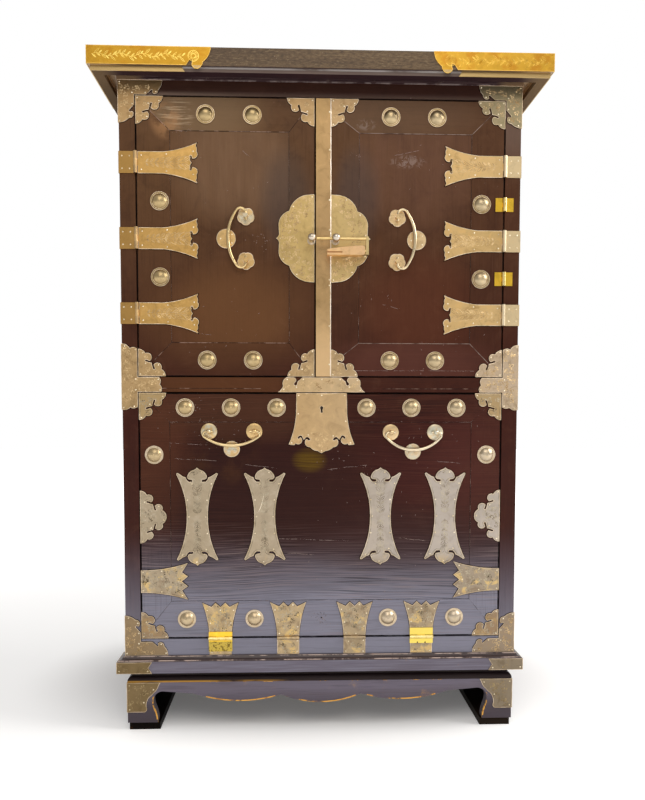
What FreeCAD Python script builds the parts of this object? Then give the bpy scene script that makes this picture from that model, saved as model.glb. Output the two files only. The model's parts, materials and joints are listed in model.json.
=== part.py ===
"""Two-tier chest of lacquered wood with brass mounts: two hinged doors over a drop front, on a low stand.

Millimetres, +Z up. The origin is under the middle of the whole chest, on the floor.
Depth is counted backwards from the front face of the frame, which the doors are flush with.
"""

import math
import os

import FreeCAD
import Part
from FreeCAD import Vector

# The case
case_width = 650.0
case_depth = 380.0
stile_width = 25.0
door_thickness = 20.0
door_gap = 1.6
stop_depth = 14.0
stop_reach = 8.0
side_thickness = 16.0
back_thickness = 8.0
board_thickness = 18.0
lower_rail_height = 27.0
drop_opening_height = 410.0
middle_rail_height = 24.0
door_opening_height = 449.0
top_rail_height = 23.0
meeting_gap_x = -10.8
meeting_gap = 2.6

# The top
top_overhang = 39.0
top_thickness = 28.0
top_pocket = 6.0
top_rim = 21.0
lip_height = 8.0
lip_inset = 5.0
cornice_height = 7.0
cornice_reach = 2.5
ring_width = 30.0

# The base moulding and the stand
band_reach = 12.0
band_face = 19.0
band_arris = 2.5
band_ledge = 5.0
band_ledge_rise = 1.0
band_bead_reach = 3.0
band_height = 27.0
neck_height = 20.0
neck_inset = 8.0
neck_cove = 8.0
neck_foot_rise = 2.0
stand_inset = 1.5
stand_height = 68.0
stand_board = 18.0
runner_height = 12.5
runner_width = 51.0
runner_inset = 4.0
foot_width = 50.0
foot_ankle = 46.5
foot_ankle_rise = 20.0
foot_waist = 42.5
foot_waist_rise = 35.0
arch_rise = 52.5
arch_x = 262.0
apron_rise = 48.5
apron_x = 214.0
cusp_x = 67.0
cusp_rise = 45.0
middle_lobe_drop = 14.0
side_lobe_drop = 12.0

# Joinery of the doors and the drop front
door_outer_member = 54.0
door_inner_member = 41.0
door_strip_member = 70.0
door_top_member = 53.5
door_bottom_member = 54.5
drop_side_member = 49.5
drop_top_member = 47.5
drop_bottom_member = 62.0
panel_recess = 0.5
panel_thickness = 14.0
panel_joint = 0.4
groove_start = 5.0
groove_width = 6.0
groove_depth = 8.0
tongue_reach = 7.6

# Sheet brass, and the hinges
plate = 1.2
strip_plate = 1.6
barrel_radius = 3.0
pin_radius = 1.5
pin_play = 0.05
barrel_stand = 0.3
barrel_play = 0.3
knuckle_count = 3

# Overrun of the cutting solids
overrun = 2.0

# Heights of the stack, from the floor
stand_top = runner_height + stand_height
band_bottom = stand_top + neck_height
case_bottom = band_bottom + band_height
drop_low = case_bottom + lower_rail_height
drop_high = drop_low + drop_opening_height
door_low = drop_high + middle_rail_height
door_high = door_low + door_opening_height
case_top = door_high + top_rail_height
board_low = case_top + cornice_height
chest_top = board_low + top_thickness

half_width = case_width / 2
opening_half = half_width - stile_width
front = (top_overhang + plate - case_depth) / 2
hinge_x = opening_half - door_gap / 2
hinge_y = front - barrel_stand - barrel_radius
hinge_z = drop_low + door_gap / 2
leaf_gap = barrel_radius + barrel_play

parts = {}


def slab(x0, x1, y0, y1, z0, z1):
    """A box between two corners, with the depths counted from the front face."""
    return Part.makeBox(x1 - x0, y1 - y0, z1 - z0, Vector(x0, front + y0, z0))


def other_side(shape):
    """The mirror image on the other side of the chest."""
    return shape.mirror(Vector(0, 0, 0), Vector(1, 0, 0))


def both_sides(shapes):
    return shapes + [other_side(shape) for shape in shapes]


def keep(name, shapes):
    """Names one node and the solids that it holds."""
    solids = []
    for shape in shapes:
        solids += shape.Solids
    parts[name] = solids


def sized(shares, width, height):
    """A table of (across share, up share, bulge) as real sizes."""
    return [(u * width, v * height, bulge) for u, v, bulge in shares]


def placed(outline, x, z, across=1, up=1):
    """Moves an outline to (x, z), turned over where across or up is -1."""
    return [(x + across * u, z + up * v, bulge * across * up) for u, v, bulge in outline]


def reflected(half, twin):
    """Completes an outline from one half, whose two ends lie on the mirror line or face each other."""
    count = len(half)
    whole = list(half)
    whole[-1] = (half[-1][0], half[-1][1], 0)
    for index in range(count - 1, -1, -1):
        point = twin(half[index][0], half[index][1])
        bulge = half[index - 1][2] if index else 0
        same = math.dist(point, half[index][:2]) < pin_play
        if same and index == count - 1:
            whole[-1] = (half[-1][0], half[-1][1], bulge)
        elif not same:
            whole.append((point[0], point[1], bulge))
    return whole


def across_middle(half):
    return reflected(half, lambda u, v: (-u, v))


def across_level(half):
    return reflected(half, lambda u, v: (u, -v))


def across_corner(half):
    return reflected(half, lambda u, v: (v, u))


def edges_of(outline, spot):
    """Lines, and arcs where a bulge is given: its share of half the chord, to the left of the way round."""
    edges = []
    for index, (u, v, bulge) in enumerate(outline):
        next_u, next_v, _ = outline[(index + 1) % len(outline)]
        start = spot(u, v)
        end = spot(next_u, next_v)
        if bulge:
            middle_u = (u + next_u - bulge * (next_v - v)) / 2
            middle_v = (v + next_v + bulge * (next_u - u)) / 2
            edges.append(Part.Arc(start, spot(middle_u, middle_v), end).toShape())
        else:
            edges.append(Part.LineSegment(start, end).toShape())
    return edges


def front_sheet(outline, thickness=plate, seat=0.0):
    """A flat piece on the front, seat behind the front face, standing forward by its thickness."""
    wire = Part.Wire(edges_of(outline, lambda u, v: Vector(u, front + seat, v)))
    return Part.Face(wire).extrude(Vector(0, -thickness, 0))


def side_sheet(outline, reach=half_width, thickness=plate):
    """A flat piece on the right side: outline in (depth from the front face, height)."""
    wire = Part.Wire(edges_of(outline, lambda u, v: Vector(reach, front + u, v)))
    return Part.Face(wire).extrude(Vector(thickness, 0, 0))


def turned(profile, x, z, seat=0.0):
    """A round piece on the front, turned from (radius, height in front of its seat, bulge)."""
    wire = Part.Wire(edges_of(profile, lambda u, v: Vector(u, -v, 0)))
    solid = Part.Face(wire).revolve(Vector(0, 0, 0), Vector(0, 1, 0), 360)
    solid.translate(Vector(x, front + seat, z))
    return solid


def dome_bulge(radius, rise):
    """The bulge of a dome's edge in a turned profile, level at the top."""
    return -math.tan(math.atan2(rise, radius) / 2)


def rod(start, end, radius):
    way = end - start
    return Part.makeCylinder(radius, way.Length, start, way)


def joined(shapes):
    return shapes[0].fuse(shapes[1:]).removeSplitter()


# The carcass: two side boards behind two rebated stiles, three rails with shouldered ends, and the boards

side_board = slab(half_width - side_thickness, half_width, door_thickness, case_depth, case_bottom, case_top)
keep("side_boards", both_sides([side_board]))

stop_x = opening_half - stop_reach
inner_x = half_width - side_thickness
stop_back = door_thickness + stop_depth


def plan_block(points, z0, z1):
    """An upright prism over a plan of (across, depth) points."""
    wire = Part.Wire(edges_of([(x, y, 0) for x, y in points], lambda u, v: Vector(u, front + v, z0)))
    return Part.Face(wire).extrude(Vector(0, 0, z1 - z0))


stile_plan = [
    (half_width, 0),
    (half_width, door_thickness),
    (inner_x, door_thickness),
    (inner_x, stop_back),
    (stop_x, stop_back),
    (stop_x, door_thickness),
    (opening_half, door_thickness),
    (opening_half, 0),
]
keep("front_stiles", both_sides([plan_block(stile_plan, case_bottom, case_top)]))

rail_plan = [
    (-opening_half, 0),
    (opening_half, 0),
    (opening_half, door_thickness),
    (stop_x, door_thickness),
    (stop_x, stop_back),
    (-stop_x, stop_back),
    (-stop_x, door_thickness),
    (-opening_half, door_thickness),
]

bolt_width = 20.0
bolt_thickness = 6.0
bolt_length = 26.0
bolt_travel = 8.0
bolt_play = 0.3
bolt_depth = 9.0
mortise_depth = bolt_travel + 2 * bolt_play


def bolt_space(play, z0, z1):
    half = bolt_width / 2 + play
    return slab(-half, half, bolt_depth - play, bolt_depth + bolt_thickness + play, z0, z1)


keep("lower_rail", [plan_block(rail_plan, case_bottom, drop_low)])
middle_rail = plan_block(rail_plan, drop_high, door_low)
keep("middle_rail", [middle_rail.cut(bolt_space(bolt_play, drop_high - overrun, drop_high + mortise_depth))])
keep("top_rail", [plan_block(rail_plan, door_high, case_top)])

board_back = case_depth - back_thickness
keep("back_panel", [slab(-inner_x, inner_x, board_back, case_depth, case_bottom, case_top)])
board_rise = (lower_rail_height - board_thickness) / 2
keep("bottom_board", [slab(-inner_x, inner_x, stop_back, board_back, case_bottom + board_rise,
                           case_bottom + board_rise + board_thickness)])
divider_rise = (middle_rail_height - board_thickness) / 2
keep("middle_board", [slab(-inner_x, inner_x, stop_back, board_back, drop_high + divider_rise,
                           drop_high + divider_rise + board_thickness)])


# The mitred rings that run round the case: each side is one profile, cut off at the corners


def ring_piece(profile, first, second, outward, reach):
    """One strip of a ring, from corner to corner of the case plan, mitred at both ends."""
    along = (second - first).normalize()
    start = first - along * reach
    length = (second - first).Length + 2 * reach
    wire = Part.Wire(edges_of(profile, lambda u, v: start + outward * u + Vector(0, 0, v)))
    strip = Part.Face(wire).extrude(along * length)
    low = min(v for _, v, _ in profile) - overrun
    high = max(v for _, v, _ in profile) + overrun
    span = reach + ring_width + overrun
    for corner, way in ((first, along), (second, along * -1)):
        points = [corner + outward * reach - way * reach, corner - outward * span + way * span,
                  corner - outward * span - way * span]
        points = [point + Vector(0, 0, low) for point in points]
        shape = Part.Wire(Part.makePolygon(points + points[:1]))
        strip = strip.cut(Part.Face(shape).extrude(Vector(0, 0, high - low)))
    return strip


def ring(profile, inset, reach):
    """Four mitred strips round the case plan; profile is (outward, height, bulge) from the plan's edge."""
    half = half_width - inset
    near = front + inset
    far = front + case_depth - inset
    corners = [Vector(-half, near, 0), Vector(half, near, 0), Vector(half, far, 0), Vector(-half, far, 0)]
    ways = [Vector(0, -1, 0), Vector(1, 0, 0), Vector(0, 1, 0), Vector(-1, 0, 0)]
    strips = []
    for index, corner in enumerate(corners):
        strips.append(ring_piece(profile, corner, corners[(index + 1) % len(corners)], ways[index], reach))
    return strips


band_profile = [
    (band_reach, band_bottom, 0),
    (band_reach, band_bottom + band_face, 0),
    (band_reach - band_arris, band_bottom + band_face + band_arris, 0),
    (band_bead_reach + band_arris, band_bottom + band_face + band_arris + band_ledge_rise, 0),
    (band_bead_reach, case_bottom, 0),
    (-ring_width, case_bottom, 0),
    (-ring_width, band_bottom, 0),
]
behind_case = slab(-case_width, case_width, case_depth, case_depth + ring_width, 0, chest_top + overrun)
keep("base_moulding", [strip.cut(behind_case) for strip in ring(band_profile, 0, band_reach)])

neck_profile = [
    (-neck_inset, band_bottom, 0),
    (-neck_inset, stand_top + neck_foot_rise + neck_cove, 0.4),
    (-stand_inset, stand_top + neck_foot_rise, 0),
    (-stand_inset, stand_top, 0),
    (-ring_width, stand_top, 0),
    (-ring_width, band_bottom, 0),
]
keep("stand_neck", ring(neck_profile, 0, band_reach))

cornice_top = board_low + top_pocket
cornice_profile = [
    (cornice_reach, case_top, 0),
    (cornice_reach, cornice_top, 0),
    (-ring_width, cornice_top, 0),
    (-ring_width, case_top, 0),
]
keep("cornice", [strip.cut(behind_case) for strip in ring(cornice_profile, 0, band_reach)])

# The top board: a slab with a pocket beneath, and a stepped lip under its three show edges

top_half = half_width + top_overhang
top_board = slab(-top_half, top_half, -top_overhang, case_depth, board_low, chest_top)
pocket = slab(-top_half + top_rim, top_half - top_rim, -top_overhang + top_rim, case_depth + overrun,
              board_low - overrun, board_low + top_pocket)
keep("top_board", [top_board.cut(pocket)])

lip_out = top_half - lip_inset
lip_in = top_half - top_rim
lip_front = -top_overhang + lip_inset
lip_back = -top_overhang + top_rim
lip_plans = [
    [(-lip_out, lip_front), (lip_out, lip_front), (lip_in, lip_back), (-lip_in, lip_back)],
    [(lip_out, lip_front), (lip_out, case_depth), (lip_in, case_depth), (lip_in, lip_back)],
]
lip_strips = [plan_block(points, board_low - lip_height, board_low) for points in lip_plans]
keep("top_lip", lip_strips + [other_side(lip_strips[1])])

# The stand: a scalloped board with cloud feet in front and behind, plain ends, and two runners

stand_half = half_width - stand_inset


def stand_outline():
    """The lower edge of the right half, from the middle out to the foot, then up the end."""
    low = runner_height
    foot_in = stand_half - foot_width
    chord = cusp_x * 2
    lobe = apron_x - cusp_x
    return [
        (0, stand_top, 0),
        (stand_half, stand_top, 0),
        (stand_half, low, 0),
        (foot_in, low, 0.1),
        (stand_half - foot_ankle, low + foot_ankle_rise, -0.1),
        (stand_half - foot_waist, low + foot_waist_rise, -0.5),
        (arch_x, low + arch_rise, 0),
        (apron_x, low + apron_rise, 2 * side_lobe_drop / lobe),
        (cusp_x, low + cusp_rise, 2 * middle_lobe_drop / chord),
    ]


def stand_board_at(depth):
    half = stand_outline()
    points = list(half) + [(-u, v, half[index - 1][2] if index else 0)
                           for index, (u, v, _) in reversed(list(enumerate(half))) if u]
    return front_sheet(points, stand_board, depth + stand_board)


keep("stand_front", [stand_board_at(stand_inset)])
keep("stand_back", [stand_board_at(case_depth - stand_inset - stand_board)])
stand_back_in = case_depth - stand_inset - stand_board
stand_end = slab(stand_half - stand_board, stand_half, stand_inset + stand_board, stand_back_in,
                 runner_height, stand_top)
keep("stand_sides", both_sides([stand_end]))
runner = slab(half_width - runner_inset - runner_width, half_width - runner_inset, runner_inset,
              case_depth - runner_inset, 0, runner_height)
keep("stand_runners", both_sides([runner]))

# The cloud outlines that the corner mounts share

cloud_shares = [
    (0, 1, 0.3),
    (0.26, 0.84, 0.95),
    (0.42, 0.56, 0),
    (0.28, 0.61, -0.9),
    (0.28, 0.54, 0),
    (0.42, 0.5, 0),
    (0.49, 0.49, 0),
]
arm_end_shares = [
    (0, 0, 0.2),
    (0.66, 0.28, 0.7),
    (0.88, 0.72, 0),
    (0.76, 0.68, -0.9),
    (0.72, 0.82, 0),
    (1, 1.14, 0),
]
cloud_leg = 44.0


def quarter_cloud(leg):
    """A corner mount: two straight legs, and lobes with comma notches along the open side."""
    return [(0, 0, 0)] + across_corner(sized(cloud_shares, leg, leg))


def half_cloud(reach, half_height):
    """Two quarter clouds back to back, seated on a straight edge."""
    quarter = [point for point in across_corner(sized(cloud_shares, 1, 1))]
    return across_level(sized(quarter, reach, half_height))


def corner_mounts(x0, x1, z0, z1, leg):
    cloud = quarter_cloud(leg)
    spots = [(x0, z0, 1, 1), (x1, z0, -1, 1), (x0, z1, 1, -1), (x1, z1, -1, -1)]
    return [front_sheet(placed(cloud, x, z, across, up)) for x, z, across, up in spots]


# The doors and the drop front: a mitred frame round a flush panel held by a tongue


def framed(x0, x1, z0, z1, left, right, bottom, top):
    """Four mitred members with a groove, and the panel whose tongue lies in it."""
    inner = (x0 + left, x1 - right, z0 + bottom, z1 - top)
    outer_corners = [(x0, z0), (x1, z0), (x1, z1), (x0, z1)]
    inner_corners = [(inner[0], inner[2]), (inner[1], inner[2]), (inner[1], inner[3]), (inner[0], inner[3])]
    groove = slab(inner[0] - groove_depth, inner[1] + groove_depth, groove_start, groove_start + groove_width,
                  inner[2] - groove_depth, inner[3] + groove_depth)
    members = []
    for index in range(len(outer_corners)):
        after = (index + 1) % len(outer_corners)
        points = [outer_corners[index], outer_corners[after], inner_corners[after], inner_corners[index]]
        member = front_sheet([(x, z, 0) for x, z in points], door_thickness, door_thickness)
        members.append(member.cut(groove))
    field = slab(inner[0] + panel_joint, inner[1] - panel_joint, panel_recess, panel_thickness,
                 inner[2] + panel_joint, inner[3] - panel_joint)
    tongue = slab(inner[0] - tongue_reach, inner[1] + tongue_reach, groove_start, groove_start + groove_width,
                  inner[2] - tongue_reach, inner[3] + tongue_reach)
    return members, joined([field, tongue])


door_edge = opening_half - door_gap
left_free = meeting_gap_x - meeting_gap / 2
right_free = meeting_gap_x + meeting_gap / 2
door_z0 = door_low + door_gap
door_z1 = door_high - door_gap
drop_z0 = drop_low + door_gap
drop_z1 = drop_high - door_gap

left_members, left_panel = framed(-door_edge, left_free, door_z0, door_z1, door_outer_member,
                                  door_inner_member, door_bottom_member, door_top_member)
keep("left_door_frame", left_members)
keep("left_door_panel", [left_panel])
right_members, right_panel = framed(right_free, door_edge, door_z0, door_z1, door_strip_member,
                                    door_outer_member, door_bottom_member, door_top_member)
keep("right_door_frame", right_members)
keep("right_door_panel", [right_panel])

strip_width = 24.6
strip_end = right_free + strip_width
strip_outline = [(right_free, door_z0, 0), (right_free, door_z1, 0), (strip_end, door_z1, 0),
                 (strip_end, door_z0, 0)]
keep("meeting_strip", [front_sheet(strip_outline, strip_plate)])
keep("left_door_corner_plates", corner_mounts(-door_edge, left_free, door_z0, door_z1, cloud_leg))
keep("right_door_corner_plates", corner_mounts(strip_end, door_edge, door_z0, door_z1, cloud_leg))

# The domed bosses: a flat rim round a low dome

boss_radius = 15.0
boss_rim = 3.2
boss_edge = 1.2
boss_height = 7.5
boss_profile = [
    (0, 0, 0),
    (boss_radius, 0, 0),
    (boss_radius, boss_edge, 0),
    (boss_radius - boss_rim, boss_edge, dome_bulge(boss_radius - boss_rim, boss_height - boss_edge)),
    (0, boss_height, 0),
]
door_boss_shares = (0.3733, 0.6233)
door_boss_side_share = 0.8717
door_boss_rise = 28.0
door_boss_drop = 29.0
side_boss_rise_shares = (0.3597, 0.6292)
door_boss_spots = []
for share in door_boss_shares:
    boss_x = opening_half * share
    door_boss_spots += [(boss_x, door_low + door_boss_rise), (boss_x, door_high - door_boss_drop)]
for share in side_boss_rise_shares:
    door_boss_spots.append((opening_half * door_boss_side_share, door_low + door_opening_height * share))
right_bosses = [turned(boss_profile, x, z) for x, z in door_boss_spots]
keep("right_door_bosses", right_bosses)
keep("left_door_bosses", [other_side(boss) for boss in right_bosses])

# The door hinges: a leaf that wraps the stile, a flaring strap on the door, and a barrel of three knuckles

strap_shares = [
    (0, 0.54, 0),
    (0.42, 0.54, -0.08),
    (0.985, 1, 0),
    (0.965, 0.84, 0.3),
    (0.975, 0.58, 0.75),
    (0.905, 0.22, 0),
    (0.895, 0.34, -0.9),
    (0.865, 0.31, 0),
    (0.872, 0.1, 0),
    (0.895, 0, 0),
]
strap_rise_shares = (0.2294, 0.4967, 0.7639)
strap_length_share = 0.3217
strap_length = opening_half * strap_length_share
strap_half = 32.0
root_half = strap_half * strap_shares[0][1]
leaf_wrap = 25.0


def knuckles(axis, length, middle, which, tongue, seat_front, seat_back):
    """Every second knuckle of a barrel, with the tongue that joins each to its leaf.

    axis is the barrel's way, middle its centre, and tongue the way from the axis to the leaf.
    """
    pitch = length / knuckle_count
    pieces = []
    for index in range(which, knuckle_count, 2):
        low = -length / 2 + index * pitch + (pin_play if index else 0)
        high = -length / 2 + (index + 1) * pitch - (pin_play if index < knuckle_count - 1 else 0)
        start = middle + axis * low
        end = middle + axis * high
        barrel = rod(start, end, barrel_radius)
        corner_a = Vector(start.x, front + seat_front, start.z)
        corner_b = end + tongue * (leaf_gap + pin_radius)
        corner_b = Vector(corner_b.x, front + seat_back, corner_b.z)
        low_corner = Vector(min(corner_a.x, corner_b.x), corner_a.y, min(corner_a.z, corner_b.z))
        web = Part.makeBox(abs(corner_b.x - corner_a.x), corner_b.y - corner_a.y,
                           abs(corner_b.z - corner_a.z), low_corner)
        whole = joined([barrel, web])
        hole = rod(start - axis * overrun, end + axis * overrun, pin_radius + pin_play)
        pieces.append(whole.cut(hole))
    return pieces


def door_strap(z):
    """The right door's strap, drawn from the barrel inwards."""
    outline = across_level(sized(strap_shares, strap_length, strap_half))
    sheet = front_sheet(placed(outline, hinge_x - leaf_gap, z, -1))
    middle = Vector(hinge_x, hinge_y, z)
    return joined([sheet] + knuckles(Vector(0, 0, 1), root_half * 2, middle, 1, Vector(-1, 0, 0), -plate, 0))


def stile_leaf(z):
    """The leaf on the stile, bent round the corner of the case."""
    outline = [(hinge_x + leaf_gap, z - root_half, 0), (hinge_x + leaf_gap, z + root_half, 0),
               (half_width + plate, z + root_half, 0), (half_width + plate, z - root_half, 0)]
    side = [(0, z - root_half, 0), (0, z + root_half, 0), (leaf_wrap, z + root_half, 0),
            (leaf_wrap, z - root_half, 0)]
    pieces = [front_sheet(outline), side_sheet(side)]
    middle = Vector(hinge_x, hinge_y, z)
    return joined(pieces + knuckles(Vector(0, 0, 1), root_half * 2, middle, 0, Vector(1, 0, 0), -plate, 0))


strap_zs = [door_low + door_opening_height * share for share in strap_rise_shares]
right_straps = [door_strap(z) for z in strap_zs]
right_leaves = [stile_leaf(z) for z in strap_zs]
keep("right_door_hinge_straps", right_straps)
keep("left_door_hinge_straps", [other_side(strap) for strap in right_straps])
keep("stile_hinge_leaves", both_sides(right_leaves))

# Two small butt hinges, added to the right door later on, and two over the outer hinges of the drop front

butt_rise_shares = (0.3608, 0.6281)
butt_half = 11.0
butt_leaf = 11.5
butt_plate = 1.0
drop_butt_share = 0.56
drop_butt_x = opening_half * drop_butt_share
drop_butt_half = 19.5
drop_butt_ups = (11.0, 15.0)
drop_butt_downs = (22.0, 11.0)
drop_butt_sides = (-1, 1)


def butt_leaves(axis, length, middle, tongue, reach, which, seat):
    """One leaf of a plain butt hinge."""
    near = middle + tongue * leaf_gap - axis * (length / 2)
    far = middle + tongue * reach + axis * (length / 2)
    low = Vector(min(near.x, far.x), front + seat - butt_plate, min(near.z, far.z))
    leaf = Part.makeBox(abs(far.x - near.x), butt_plate, abs(far.z - near.z), low)
    return joined([leaf] + knuckles(axis, length, middle, which, tongue, seat - butt_plate, seat))


upright = Vector(0, 0, 1)
sideways = Vector(1, 0, 0)
door_butts = []
frame_butts = []
for share in butt_rise_shares:
    middle = Vector(hinge_x, hinge_y, door_low + door_opening_height * share)
    door_butts.append(butt_leaves(upright, butt_half * 2, middle, Vector(-1, 0, 0), leaf_gap + butt_leaf, 1, 0))
    frame_butts.append(butt_leaves(upright, butt_half * 2, middle, Vector(1, 0, 0), leaf_gap + butt_leaf, 0, 0))
drop_butts = []
for side, up, down in zip(drop_butt_sides, drop_butt_ups, drop_butt_downs):
    middle = Vector(side * drop_butt_x, hinge_y, hinge_z)
    drop_butts.append(butt_leaves(sideways, drop_butt_half * 2, middle, upright, up, 1, -plate))
    frame_butts.append(butt_leaves(sideways, drop_butt_half * 2, middle, upright * -1, down, 0, -plate))
keep("right_door_repair_leaves", door_butts)
keep("frame_repair_leaves", frame_butts)
keep("drop_front_repair_leaves", drop_butts)

# The crown hinges under the drop front: the middle two still turn, the outer two lost their barrels

crown_shares = [
    (0, 0.87, 0),
    (0.27, 1, 0),
    (0.5, 0.875, 0),
    (1, 1, -0.08),
    (0.61, 0, 0),
]
crown_height = 60.0
crown_width_share = 0.1
crown_half = opening_half * crown_width_share
inner_crown_share = 0.185
inner_crown_x = opening_half * inner_crown_share
crown_xs = (-drop_butt_x, -inner_crown_x, inner_crown_x, drop_butt_x)
crown_root_half = crown_half * crown_shares[-1][0]
crown_foot = lower_rail_height - door_gap / 2


def crown_strap(x, turning):
    outline = across_middle(sized(crown_shares, crown_half, crown_height - leaf_gap))
    sheet = front_sheet(placed(outline, x, hinge_z + leaf_gap))
    if not turning:
        return sheet
    middle = Vector(x, hinge_y, hinge_z)
    return joined([sheet] + knuckles(sideways, crown_root_half * 2, middle, 1, upright, -plate, 0))


def crown_leaf(x, turning):
    """The plain leaf on the lower rail."""
    top = hinge_z - leaf_gap
    outline = [(x - crown_root_half, case_bottom, 0), (x - crown_root_half, top, 0),
               (x + crown_root_half, top, 0), (x + crown_root_half, case_bottom, 0)]
    sheet = front_sheet(outline)
    if not turning:
        return sheet
    middle = Vector(x, hinge_y, hinge_z)
    return joined([sheet] + knuckles(sideways, crown_root_half * 2, middle, 0, upright * -1, -plate, 0))


crown_turns = [abs(x) < drop_butt_x for x in crown_xs]
keep("drop_front_hinge_straps", [crown_strap(x, turning) for x, turning in zip(crown_xs, crown_turns)])
keep("rail_hinge_leaves", [crown_leaf(x, turning) for x, turning in zip(crown_xs, crown_turns)])

pins = []
for z in strap_zs:
    pins += both_sides([rod(Vector(hinge_x, hinge_y, z - root_half), Vector(hinge_x, hinge_y, z + root_half),
                            pin_radius)])
for share in butt_rise_shares:
    z = door_low + door_opening_height * share
    pins.append(rod(Vector(hinge_x, hinge_y, z - butt_half), Vector(hinge_x, hinge_y, z + butt_half), pin_radius))
for x, turning in zip(crown_xs, crown_turns):
    reach = crown_root_half if turning else drop_butt_half
    pins.append(rod(Vector(x - reach, hinge_y, hinge_z), Vector(x + reach, hinge_y, hinge_z), pin_radius))
keep("hinge_pins", pins)

# The lock plate in two halves, and the two ball-headed posts that the padlock's bar passes through

lock_x = 2.5
lock_rise_share = 0.5011
lock_width_share = 0.2567
lock_half_width = opening_half * lock_width_share
lock_half_height = 71.5
lock_plate_shares = [
    (0, 1, 0),
    (0.33, 0.975, 0.28),
    (0.71, 0.66, 0),
    (0.72, 0.615, 0.35),
    (0.945, 0.27, 0),
    (0.935, 0.1, -0.25),
    (1, 0, 0),
]
lock_z = door_low + door_opening_height * lock_rise_share
lock_half_plate = across_level(sized(lock_plate_shares, lock_half_width, lock_half_height))
lock_plate_outline = placed(across_middle(lock_half_plate), lock_x, lock_z)
lock_plate_whole = front_sheet(lock_plate_outline)
keep("left_lock_plate", [lock_plate_whole.common(slab(-case_width, left_free, -plate, plate, door_z0, door_z1))])
keep("right_lock_plate", [lock_plate_whole.common(slab(strip_end, case_width, -plate, plate, door_z0, door_z1))])

post_spacing = 39.0
post_radius = 4.5
post_drop = 4.0
collar_radius = 6.5
collar_height = 2.0
ball_radius = 6.5
ball_reach = 29.0
bar_depth = 21.0
bar_radius = 2.4
bar_play = 0.1
post_z = lock_z - post_drop
neck_of_ball = math.sqrt(ball_radius ** 2 - post_radius ** 2)
ball_sweep = math.pi / 2 + math.asin(neck_of_ball / ball_radius)
ball_bulge = -math.tan(ball_sweep / 4)
post_profile = [
    (0, 0, 0),
    (collar_radius, 0, 0),
    (collar_radius, collar_height, 0),
    (post_radius, collar_height, 0),
    (post_radius, ball_reach - neck_of_ball - plate, ball_bulge),
    (0, ball_reach + ball_radius - plate, 0),
]


def lock_post(x):
    post = turned(post_profile, x, post_z, -plate)
    eye = rod(Vector(x - case_width, front - bar_depth, post_z), Vector(x + case_width, front - bar_depth, post_z),
              bar_radius + bar_play)
    return post.cut(eye)


left_post_x = lock_x - post_spacing / 2
right_post_x = lock_x + post_spacing / 2
keep("left_lock_post", [lock_post(left_post_x)])
keep("right_lock_post", [lock_post(right_post_x)])

# The padlock: a bar with a turned-down end, and the slotted body below it. It is drawn here with its bar
# pulled to the right, clear of the left post

bar_length = 83.0
bar_tip_before_post = 19.5
padlock_draw = 28.0
end_width = 4.5
end_depth = 8.0
end_drop = 26.0
body_length = 60.0
body_tip_height = 9.0
body_height = 15.0
body_thickness = 13.0
body_drop = 19.5
body_gap = 2.0
body_round = 4.0
slit_length = 24.0
slit_height = 2.0
arm_radius = 2.5
arm_reach = 14.0

bar_start = left_post_x - bar_tip_before_post + padlock_draw
bar_end = bar_start + bar_length
bar = rod(Vector(bar_start, front - bar_depth, post_z), Vector(bar_end, front - bar_depth, post_z), bar_radius)
end_piece = slab(bar_end - end_width, bar_end, -bar_depth - end_depth / 2, -bar_depth + end_depth / 2,
                 post_z - end_drop, post_z + bar_radius)
body_end = bar_end - end_width - body_gap
body_z = post_z - body_drop
arm = rod(Vector(body_end - arm_reach, front - bar_depth, body_z),
          Vector(bar_end - end_width / 2, front - bar_depth, body_z), arm_radius)
keep("padlock_bar", [joined([bar, end_piece, arm])])

body_start = body_end - body_length
body_outline = [
    (body_start, body_z - body_height / 2, 0),
    (body_start, body_z - body_height / 2 + body_tip_height, 0.03),
    (body_end - body_round, body_z + body_height / 2, 0.41),
    (body_end, body_z + body_height / 2 - body_round, 0),
    (body_end, body_z - body_height / 2 + body_round, 0.41),
    (body_end - body_round, body_z - body_height / 2, 0),
]
body = front_sheet(body_outline, body_thickness, -bar_depth + body_thickness / 2)
slit_z = body_z - body_height / 2 + body_tip_height / 2
slit = slab(body_start - overrun, body_start + slit_length, -bar_depth - body_thickness,
            -bar_depth + body_thickness, slit_z - slit_height / 2, slit_z + slit_height / 2)
socket = rod(Vector(body_end - arm_reach, front - bar_depth, body_z),
             Vector(body_end + overrun, front - bar_depth, body_z), arm_radius + bar_play)
keep("padlock_body", [body.cut(slit).cut(socket)])

# The bails: a bent rod whose two ends turn in eyed posts on small rosettes, over a strike plate

bail_radius = 1.9
bail_middle_radius = 3.0
bail_play = 0.05
bail_stand = 9.0
bail_post_radius = 3.7
bail_post_length = 13.0
rosette_radius = 13.2
rosette_height = 2.2
rosette_edge = 1.0
bail_post_dome = 2.0
stud_inside = 3.0
stud_outside = 0.3
bail_post_profile = [
    (0, 0, 0),
    (rosette_radius, 0, 0),
    (rosette_radius, rosette_edge, -0.1),
    (bail_post_radius, rosette_height, 0),
    (bail_post_radius, bail_post_length, dome_bulge(bail_post_radius, bail_post_dome)),
    (0, bail_post_length + bail_post_dome, 0),
]
plum_petals = 5
plum_radius = 12.5
petal_bulge = 0.55

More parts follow.
